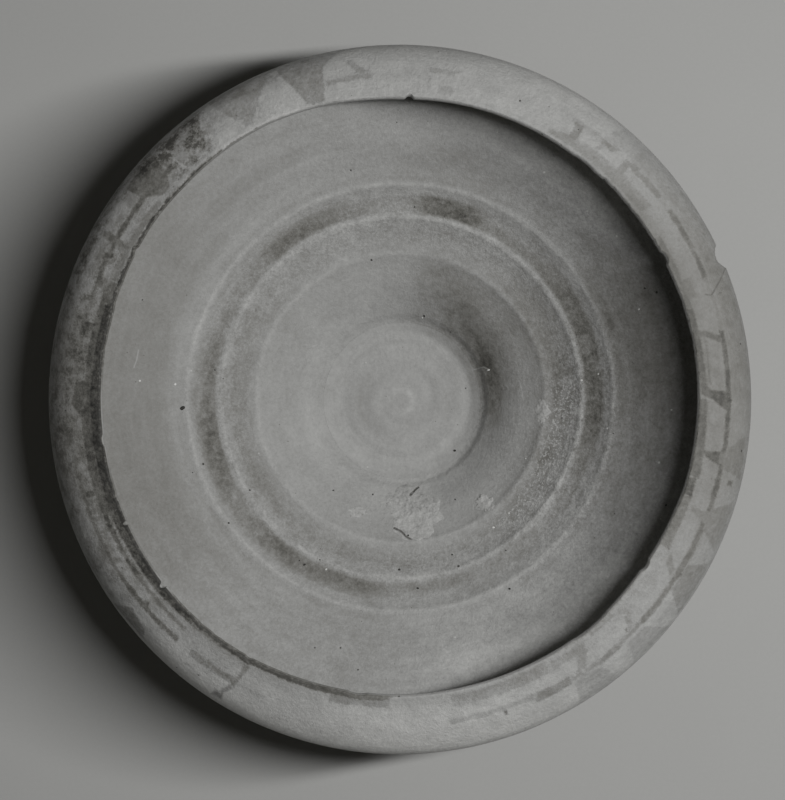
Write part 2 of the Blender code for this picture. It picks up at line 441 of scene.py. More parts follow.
def turned_from(theta, degrees):
    """Angle from a direction given in degrees, in degrees from -180 to 180."""
    return (np.degrees(theta) - degrees + 180) % 360 - 180


def turn_angles(columns):
    """Evenly spaced angles round the bowl, as one row."""
    return np.linspace(0, 2 * np.pi, columns, endpoint=False)[None, :]


# %% Drift of the turns, the wandering lip and the broken keel
KEEL_OVAL = 0.0051              # share by which the keel is narrower along X
BAND_CENTRE = (-0.64, 0.21)     # mm, centre of the lip and of the painted band
# height, then centre in X and Y, all in mm
TURN_CENTRES = ((0, 0.8, -0.6), (18, 0.8, -0.6), (32, 0.45, 0.5), (44, 0.2, 0.95),
                (62, 0.1, 0.4), (79.5, 0, 0))
CHIP_TURN = math.radians(24.0)  # from +X
CHIP_CENTRE, CHIP_DEPTH = 152.5, 8.0                       # mm from the axis, and mm
CHIP_HALF_WIDTH, CHIP_HALF_HEIGHT, CHIP_LIFT = 5.7, 17.0, 1.0    # mm
# degrees and radius in mm
LIP_LINE = (
    (5, 125), (20, 125), (35, 125.2), (50, 125.2), (65, 125.5), (80, 125.7), (90, 125.3),
    (97, 125.7), (105, 126.6), (115, 127.2), (125, 126.8), (135, 126.1), (145, 125.9), (155, 125.2),
    (165, 124.1), (185, 123.9), (195, 124), (205, 124.3), (215, 124.5), (235, 124.6), (245, 123.8),
    (255, 123.5), (270, 123.5), (285, 123.3), (295, 123.5), (308, 123.9), (315, 123.9),
    (322, 123.6), (330, 123.8), (338, 124.2), (345, 124.7),
)


def by_hand(radius, height, theta):
    """Where the hand left each point, as X, Y and Z in mm.

    Round the keel the radius shrinks with the cosine of twice the angle. Below it the
    centre of a turn drifts with height. Above it each point moves towards the lip's
    own line, fully at the lip.
    """
    up = soft_step(height, KEEL_HEIGHT, LIP_HEIGHT)
    wide = soft_step(radius, 60.0, KEEL_RADIUS) * (1 - up)
    lip = round_bowl(theta, LIP_LINE) - STATIONS["lip"][0]
    radius = radius * (1 - KEEL_OVAL * wide * np.cos(2 * theta)) + up * lip
    heights, drift_x, drift_y = np.array(TURN_CENTRES).T
    x = radius * np.cos(theta) + np.interp(height, heights, drift_x) + up * BAND_CENTRE[0]
    y = radius * np.sin(theta) + np.interp(height, heights, drift_y) + up * BAND_CENTRE[1]
    return x, y, height + 0 * theta


def knock_chip(x, y, z, theta):
    """Break a flake out of the keel: points inside an ellipsoid move in to its face.

    Looking along the chip's direction, the face lies at the centre's distance less the
    depth times sqrt(1 - (side / a)^2 - (rise / b)^2), roughened by a crumple. The last
    value is 1 where clay broke away.
    """
    ahead, aside = math.cos(CHIP_TURN), math.sin(CHIP_TURN)
    out, side = x * ahead + y * aside, y * ahead - x * aside
    rise = z - KEEL_HEIGHT - CHIP_LIFT
    left = 1 - (side / CHIP_HALF_WIDTH) ** 2 - (rise / CHIP_HALF_HEIGHT) ** 2
    face = CHIP_CENTRE - CHIP_DEPTH * np.sqrt(np.clip(left, 0, 1))
    face = face + 0.4 * crumple(theta, z, 700, 1.6, 61)
    loss = np.where((left > 0) & (out > face), out - face, 0.0)
    return x - loss * ahead, y - loss * aside, z, soft_step(loss, 0.05, 0.5)


print("lip wanders by", np.ptp(np.array(LIP_LINE)[:, 1]).round(1), "mm")

# %% [markdown]
# ## From rows of points to a solid skin
#
# A ring of clay is a grid that closes on itself twice: round the bowl, and from its
# inner face over its edge and back along its outer face. A disc, a crust or a grit closes
# at two poles. One function joins such a grid into faces, measures the volume to be sure
# that they point outwards, and stores the fields that the materials read.

# %% Grid to mesh
SHARP_EDGE = math.radians(52)    # faces that meet more sharply keep a crisp edge


def skin(name, x, y, z, fields, poles=False, sharp=SHARP_EDGE):
    """A closed mesh from rows of points, in mm, each of whose rows is a round.

    A ring's last row joins its first. With poles the first and last rows are single
    points. Where there is a third axis, ahead of the rows, it counts lumps. The signed
    volume, a sixth of the sum of a x b . c over the triangles, tells whether the faces
    have to be turned round.
    """
    points = np.stack([x, y, z], axis=-1).reshape(-1, 3) / 1000.0
    index = np.arange(x.size).reshape(x.shape)
    beside = np.roll(index, -1, axis=-1)
    if poles:
        corners = (index[..., 1:-2, :], beside[..., 1:-2, :],
                   beside[..., 2:-1, :], index[..., 2:-1, :])
        first, last = (0 * index[..., 0, :] + index[..., row, :1] for row in (0, -1))
        fans = ((first, beside[..., 1, :], index[..., 1, :]),
                (last, index[..., -2, :], beside[..., -2, :]))
        triangles = np.vstack([np.stack(fan, -1).reshape(-1, 3) for fan in fans])
    else:
        corners = (index, beside, np.roll(beside, -1, axis=0), np.roll(index, -1, axis=0))
        triangles = np.empty((0, 3), int)
    quads = np.stack(corners, -1).reshape(-1, 4)
    halves = np.vstack([quads[:, :3], quads[:, [0, 2, 3]], triangles])
    a, b, c = (points[halves[:, number]] for number in range(3))
    if np.einsum("ij,ij->", np.cross(a, b), c) < 0:
        quads, triangles = quads[:, ::-1], triangles[:, ::-1]
    used = np.zeros(len(points), bool)
    used[quads.ravel()] = True
    used[triangles.ravel()] = True
    renumber = np.cumsum(used) - 1
    mesh = bpy.data.meshes.new(name)
    mesh.from_pydata(points[used], [], renumber[quads].tolist() + renumber[triangles].tolist())
    for field, values in fields.items():
        attribute = mesh.attributes.new(field, "FLOAT", "POINT")
        attribute.data.foreach_set("value", values.reshape(-1)[used].astype(np.float32))
    mesh.shade_smooth()
    mesh.set_sharp_from_angle(angle=sharp)
    mesh.update()
    piece = bpy.data.objects.new(name, mesh)
    bpy.context.scene.collection.objects.link(piece)
    return piece


def dress(piece, material, node=None):
    """Give the piece its material, let it ride on the bowl and stand in for its node."""
    piece.data.materials.append(material)
    if node:
        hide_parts(node)
    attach(piece, "root")
    low, high = (np.array(corner) * 1000 for corner in (piece.bound_box[0], piece.bound_box[6]))
    print(f"{piece.name}: {len(piece.data.polygons)} faces, {(high - low).round(1)} mm")


# %% [markdown]
# ## Throwing marks inside the bowl
#
# A finger that rises up the turning wall leaves a shallow groove and a crest beside
# it, and on the floor of the well it leaves a spiral with a small button in the middle.
# These marks are true shape, so they catch light. One
# function gives their height everywhere inside, so they run on over the joints.

# %% Height of the throwing marks
RIDGES = (63.2, 78.5, 92.5)              # mm, radii of the crests
RIDGE_RISES, RIDGE_WIDTH = (0.46, 0.6, 0.6), 1.5    # mm
# inner and outer radius and depth, in mm
GROOVES = ((50, 63.2, 0.35), (63.2, 78.5, 0.75), (78.5, 92.5, 0.8), (92.5, 108, 0.45))
SPIRAL_PITCH, SPIRAL_RISE = 8.5, 0.12    # mm
BUTTON_RADIUS, BUTTON_RISE = 5.0, 0.35   # mm
STEP_RADIUS, STEP_EXTRA = 37.3, 1.3      # mm


def throwing_marks(radius, theta):
    """Height of the marks over the plain inner line, in mm.

    A crest is a bell, exp(-(d / w)^2), of the distance d from its wavering circle. A
    groove is a sine squared between two crests. The spiral is a cosine of the radius
    over its pitch less the turn, and it fades out at the button and at the well's edge.
    The well's step is steeper in its middle: a short S curve less a long one.
    """
    lift = np.zeros(np.broadcast(radius, theta).shape)
    for number, crest in enumerate(RIDGES):
        waver = 0.35 * ripple(theta, 11, 30 + number) + 0.12 * ripple(theta, 90, 33 + number)
        rise = RIDGE_RISES[number] * (0.85 + 0.35 * ripple(theta, 9, 20 + number))
        lift = lift + rise * np.exp(-((radius - crest - waver) / RIDGE_WIDTH) ** 2)
    for low, high, depth in GROOVES:
        share = np.clip((radius - low) / (high - low), 0, 1)
        lift = lift - depth * np.sin(np.pi * share) ** 2
    turn = radius / SPIRAL_PITCH - theta / (2 * np.pi)
    spiral_zone = soft_step(radius, BUTTON_RADIUS, 9) * (1 - soft_step(radius, 29, 34))
    lift = lift + SPIRAL_RISE * np.cos(2 * np.pi * turn) * spiral_zone
    step = radius - STEP_RADIUS
    sharper = soft_step(step, -1.9, 1.9) - soft_step(step, -3.8, 6.5)
    lift = lift + STEP_EXTRA * (0.65 + 0.35 * np.cos(theta - 0.1)) * sharper
    lift = lift + BUTTON_RISE * (1 - soft_step(radius, BUTTON_RADIUS - 1.3, BUTTON_RADIUS + 1.0))
    dents = (0.16 * crumple(theta, radius, 36, 13.0, 41)
             + 0.05 * crumple(theta, radius, 160, 3.1, 42))
    return lift + dents * soft_step(radius, 12, 26)


def smudges(theta, radius, marks, soft=1.2):
    """Soft-edged marks round the bowl, summed: stains, dust, and painted shade and light.

    Each mark is a middle and a spread in degrees, an inner and outer radius in mm and a
    strength. It is a flat-topped bell of the angle, exp(-(a / spread)^4), times a band
    of the radius with soft edges.
    """
    total = np.zeros(np.broadcast(radius, theta).shape)
    for middle, spread, low, high, strength in marks:
        band = soft_step(radius, low - soft, low + soft)
        band = band * (1 - soft_step(radius, high - soft, high + soft))
        total = total + strength * np.exp(-(turned_from(theta, middle) / spread) ** 4) * band
    return total


marks_range = throwing_marks(np.linspace(10, 138, 200)[:, None], turn_angles(360))
print("throwing marks from", marks_range.min().round(2), "to", marks_range.max().round(2), "mm")

# %% [markdown]
# ## Floor of the well
#
# The base is a slightly dished disc, the first clay that the potter opened on the
# wheel. Its grid runs from the axis over the top to the seam and back under to the axis,
# so the two poles close it.

# %% Floor disc
HAIR = 0.02          # mm, gap that keeps two members from sharing a face
CREST_WIDTH = 1.4    # mm, of the rubbed clay on a crest


def thrown(line, stops, theta):
    """Rows of the inner face at the stops, with their throwing marks, as radius and height."""
    radius, height, slope, _ = pick(line, stops)
    return square_to(radius, height, slope, throwing_marks(radius + 0 * theta, theta))


def backed(line, stops, theta, roughness=0.12):
    """Rows of the outer face at the stops: the inner line moved out by the thickness."""
    radius, height, slope, thick = pick(line, stops)
    away = soft_step(radius, 54, 62)
    dents = roughness * away * crumple(theta, radius + 300, 60, 7.0, 51)
    lines = 0.10 * away * np.sin(2 * np.pi * (radius / 5.3 - theta / (2 * np.pi)))
    return square_to(radius, height, slope, -thick + dents + lines)


def stacked(*parts, columns):
    """Radius and height of several groups of rows, one above the other."""
    wide = [[np.broadcast_to(part, (part.shape[0], columns)) for part in pair] for pair in parts]
    return np.vstack([pair[0] for pair in wide]), np.vstack([pair[1] for pair in wide])


DISC_COLUMNS = 480
# middle and spread in degrees, inner and outer radius in mm, strength
DISC_STAINS_AND_SHADE = (
    # The entry at 32 degrees, 31 to 40 mm, is painted shade at the foot of the well's step; the
    # others are stains.
    (200, 60, 12, 21, 0.07), (330, 40, 10, 22, 0.05), (32, 50, 31, 40, 0.2),
    (250, 70, 22.5, 25, 0.07), (105, 50, 25.5, 28, 0.07), (40, 50, 14, 17, 0.05),
    (300, 50, 8, 10, 0.06), (170, 60, 17.5, 19.5, 0.07),
)
disc_theta = turn_angles(DISC_COLUMNS)
DISC_LINE = inner_line(["centre", "well_floor", "well_step"])
disc_end = np.interp(WELL_JOINT, DISC_LINE[:, 0], lengths(DISC_LINE)) - HAIR
disc_stops = np.linspace(0, disc_end, 60)[:, None]
disc_r, disc_z = stacked(thrown(DISC_LINE, disc_stops, disc_theta),
                         backed(DISC_LINE, disc_stops[::-6], disc_theta), columns=DISC_COLUMNS)
disc_r[0], disc_r[-1] = 0.0, 0.0
disc_z[0], disc_z[-1] = disc_z[0, 0], disc_z[-1, 0]
disc_fields = {"stain": smudges(disc_theta, disc_r, DISC_STAINS_AND_SHADE),
               "crest": np.exp(-((disc_r - BUTTON_RADIUS) / CREST_WIDTH) ** 2)}
disc = skin("floor_disc", *by_hand(disc_r, disc_z, disc_theta), disc_fields, poles=True)

# %% [markdown]
# ## Wall
#
# The wall climbs out of the well in one steep step, runs over three crests and opens
# towards the shoulder. Its rows are set close where a crest has to be round and wide
# apart where the wall is plain, which spends the faces where they are seen.

# %% Wall from the well to the shoulder
WALL_COLUMNS = 720
WALL_ROWS = 108
wall_theta = turn_angles(WALL_COLUMNS)
WALL_LINE = inner_line(["well_floor", "well_step", "shelf", "wall", "keel"])
wall_far = lengths(WALL_LINE)
well_far, joint_far = np.interp((WELL_JOINT, JOINT_RADIUS), WALL_LINE[:, 0], wall_far)


def crowded(far, radius, start, end, count):
    """Stops along a line, closer together near the crests.

    The wanted number of rows to a mm is 1 plus a bell round each crest. Its running sum
    is cut into even shares.
    """
    wanted = 1 + 2.2 * sum(np.exp(-((radius - crest) / 2.6) ** 2) for crest in RIDGES)
    inside = (far >= start) & (far <= end)
    running = np.cumsum(wanted * inside)
    return np.interp(np.linspace(0, running[-1], count), running, far)


wall_ends = (well_far + HAIR, joint_far - HAIR)
wall_stops = crowded(wall_far, WALL_LINE[:, 0], *wall_ends, WALL_ROWS)[:, None]
wall_stops[[0, -1], 0] = wall_ends
back_stops = np.linspace(*wall_ends[::-1], 22)[:, None]
wall_r, wall_z = stacked(thrown(WALL_LINE, wall_stops, wall_theta),
                         backed(WALL_LINE, back_stops, wall_theta), columns=WALL_COLUMNS)

# name of the field, softness of its edges in mm, then middle and spread in degrees,
# inner and outer radius in mm, and strength
WALL_MARKS = (
    ("stain", 1.2, (
        (12, 30, 80.4, 88.5, 0.56), (54, 16, 80.6, 85, 0.28), (75, 10, 80.2, 88.5, 0.58),
        (100, 12, 80.8, 87, 0.2), (121, 13, 80.5, 88, 0.38), (160, 44, 80.4, 86.4, 0.24),
        (203, 42, 80.8, 89.5, 0.2), (243, 22, 80.6, 87.5, 0.4), (275, 18, 81, 85.5, 0.24),
        (198, 15, 80.6, 88.5, 0.2), (318, 30, 79, 86.5, 0.2), (190, 70, 87, 91.5, 0.1),
        # The two at 14 and 45 degrees, 38.5 to 46.5 mm, are painted shade on the well's step, on
        # the side away from the lamp; the others are stains in the grooves.
        (14, 36, 38.5, 44, 0.25), (45, 18, 42, 46.5, 0.08), (-12, 20, 66, 77, 0.1),
        (180, 360, 66.5, 75, 0.07), (0, 16, 67, 74, 0.1), (225, 60, 69.5, 74, 0.1),
        (318, 20, 66, 75, 0.08), (0, 40, 93.5, 97.5, 0.12), (100, 46, 93.5, 96.5, 0.1),
        (225, 46, 94, 97, 0.1), (120, 20, 110, 117, 0.1),
    )),
    ("stain", 5.0, (
        # The first five darken the well's step and the ground at its foot on the side away from the
        # lamp: partly darker ground, partly painted shade of the step. The one at 16 degrees, 92 to
        # 128 mm, is painted shade on the wall under the lip.
        (32, 50, 20, 38, 0.24), (12, 26, 35, 45, 0.2), (34, 34, 38, 50, 0.2), (48, 36, 46, 60, 0.2),
        (66, 18, 36, 60, 0.14), (24, 24, 63, 80, 0.16), (15, 90, 60, 67, 0.22),
        (16, 17, 92, 128, 0.22), (76, 12, 94, 122, 0.12),
    )),
    # Painted shade (above 0) and painted light (below 0), laid over the lamp's shading. The entry
    # at 4 degrees darkens the wall under the lip. The entries below 0 pale the wall, chiefly the
    # lip's shadow at 40 to 60 and 300 to 325 degrees and the well's step on the left and below. The
    # first three darken the left-hand and lower wall as darker ground.
    ("shade", 5.0, (
        (176, 46, 101, 140, 0.24), (225, 40, 94, 140, 0.08), (192, 60, 64, 80, 0.1),
        (4, 38, 92, 140, 0.14), (135, 36, 92, 112, -0.04), (215, 85, 37, 46, -0.12),
        (268, 22, 36, 50, -0.16), (288, 28, 33, 38, -0.2), (58, 26, 112, 140, -0.35),
        (304, 26, 97, 140, -0.16), (304, 26, 114, 140, -0.35), (40, 30, 119, 140, -0.25),
        (325, 24, 117, 140, -0.25),
    )),
    ("dust", 3.0, (
        (-11, 17, 66.5, 77, 1.2), (-38, 18, 66.5, 77, 0.7), (-80, 20, 67, 76, 0.2),
        (110, 120, 66, 90, 0.12), (-36, 26, 44, 62, 0.32),
    )),
    ("rough", 8.0, (
        (0, 60, 92, 140, 1), (-12, 34, 62, 95, 0.8), (180, 360, 66, 92, 0.9),
        (250, 60, 95, 140, 0.5), (90, 50, 95, 140, 0.3), (30, 60, 20, 60, 0.6),
    )),
)
wall_inside = np.vstack([np.ones((WALL_ROWS, 1)), np.zeros((len(back_stops), 1))])
crests = sum(np.exp(-((wall_r - crest) / CREST_WIDTH) ** 2) for crest in RIDGES)
wall_fields = {"crest": crests * wall_inside}
for field, soft, marks in WALL_MARKS:
    more = smudges(wall_theta, wall_r, marks, soft) * wall_inside
    wall_fields[field] = wall_fields.get(field, 0) + more
wall_xyz = knock_chip(*by_hand(wall_r, wall_z, wall_theta), wall_theta)[:3]
wall = skin("wall_thrown", *wall_xyz, wall_fields)

# %% [markdown]
# ## Shoulder, keel and lip
#
# The shoulder turns inwards over the keel and thins to the lip. Its edge has been
# worn and knocked for a long time. The loss is worked out first, as a depth in mm round
# the lip, and the rows near the lip are drawn back along the section by it, so a chip
# has a real broken edge and the wall keeps its thickness there.

# %% Worn lip
# degrees, half width in degrees, depth in mm
LIP_CHIPS = (
    (28, 1.4, 1.3), (88, 0.8, 1.4), (204.5, 0.5, 1.7), (218.3, 0.6, 1.9), (310, 4.5, 0.7),
    (326, 1.3, 0.9), (188, 1.2, 0.8), (262, 1.8, 0.7), (240, 0.9, 0.7), (170, 0.9, 0.6),
    (52, 2.4, 0.5), (150.5, 0.9, 1),
)
LIP_ROUND = 0.8       # mm, how far the rounded edge stands ahead of the section
LIP_REACH = 7.0       # mm, how far back a chip draws the rows


def lip_loss(theta):
    """How much of the lip is gone, in mm.

    A chip is a rounded notch, depth times (1 - (a / half width)^2)^0.7. Between the
    chips two ripples, kept above 0, nibble the edge, more in some places than others.
    """
    share = soft_step(ripple(theta, 31, 8), -0.6, 0.8)
    nibbles = 0.5 * np.clip(ripple(theta, 170, 5), 0, 1) ** 2
    nibbles = nibbles + 0.3 * np.clip(ripple(theta, 430, 6), 0, 1)
    loss = share * nibbles + 0.25 * ripple(theta, 40, 7)
    for middle, half_width, depth in LIP_CHIPS:
        notch = np.clip(1 - (turned_from(theta, middle) / half_width) ** 2, 0, 1) ** 0.7
        loss = np.maximum(loss, depth * notch)
    return loss


print("lip loss up to", lip_loss(turn_angles(3600)).max().round(2), "mm")

# %% Shoulder rows from the joint over the lip to the keel
SHOULDER_COLUMNS = 1440
KEEL_TRIM = 2.4      # mm, how far the potter pared the shoulder above the keel
shoulder_theta = turn_angles(SHOULDER_COLUMNS)
SHOULDER_LINE = inner_line(["wall", "keel", "lip"])
shoulder_far = lengths(SHOULDER_LINE)
keel_far = shoulder_far[SPAN_POINTS]
shoulder_start = HAIR + np.interp(JOINT_RADIUS, SHOULDER_LINE[:SPAN_POINTS, 0],
                                  shoulder_far[:SPAN_POINTS])
shoulder_end = shoulder_far[-1] - LIP_ROUND
hidden_stops = np.linspace(shoulder_start, shoulder_end, 15)[:, None]
seen_stops = np.concatenate([np.linspace(shoulder_end, keel_far, 38, endpoint=False),
                             np.linspace(keel_far, shoulder_start, 8)])[:, None]


def drawn_back(stops):
    """Stops near the lip moved back by what the lip has lost, fully at its edge."""
    near = soft_step(stops, shoulder_end - LIP_REACH, shoulder_end)
    return stops - near * lip_loss(shoulder_theta)


def lip_rows(count):
    """The rounded edge: half an ellipse ahead of the section, from inside to outside."""
    edge = shoulder_end - lip_loss(shoulder_theta)
    radius, height, slope, thick = pick(SHOULDER_LINE, edge)
    outer_r, outer_z = square_to(radius, height, slope, -thick)
    swing = np.linspace(0, np.pi, count + 2)[1:-1, None]
    ahead, across = LIP_ROUND * np.sin(swing) ** 0.6, 0.5 * (1 - np.cos(swing))
    return (radius + across * (outer_r - radius) + ahead * np.cos(slope),
            height + across * (outer_z - height) + ahead * np.sin(slope))


def shoulder_outside(stops):
    """The outer face, with the small unevenness of a brushed and burnished slip."""
    radius, height, slope, thick = pick(SHOULDER_LINE, drawn_back(stops))
    share = np.clip((stops - keel_far) / (shoulder_end - keel_far), 0, 1)
    dents = (0.14 * crumple(shoulder_theta, stops + 0 * shoulder_theta, 110, 5.0, 71)
             + 0.06 * crumple(shoulder_theta, stops + 0 * shoulder_theta, 420, 1.5, 72)
             - KEEL_TRIM * np.sin(np.pi * share ** 0.7) ** 2)
    return square_to(radius, height, slope, -thick + dents * soft_step(stops, shoulder_start, 60))


def shoulder_inside(stops):
    """The hidden inner face of the shoulder."""
    radius, height, slope, _ = pick(SHOULDER_LINE, drawn_back(stops))
    return square_to(radius, height, slope, throwing_marks(radius, shoulder_theta))


shoulder_r, shoulder_z = stacked(shoulder_inside(hidden_stops), lip_rows(5),
                                 shoulder_outside(seen_stops), columns=SHOULDER_COLUMNS)
*shoulder_xyz, broken_clay = knock_chip(*by_hand(shoulder_r, shoulder_z, shoulder_theta),
                                        shoulder_theta)
print("shoulder:", len(shoulder_r), "rows, from", round(float(shoulder_start), 1), "mm on the line")

# %% [markdown]
# ## The painted band
#
# The band was drawn with a brush in dark slip: a line round the shoulder, triangles
# that hang from the keel, groups of short bars and a border along the lip. It is much
# worn. Each stroke is written down here as the painter would lay it, as a convex patch
# with its strength, and every point of the shoulder gets its distance to the nearest
# patch. The material then decides how ragged the edge is, so the paint stays sharp
# at any distance.

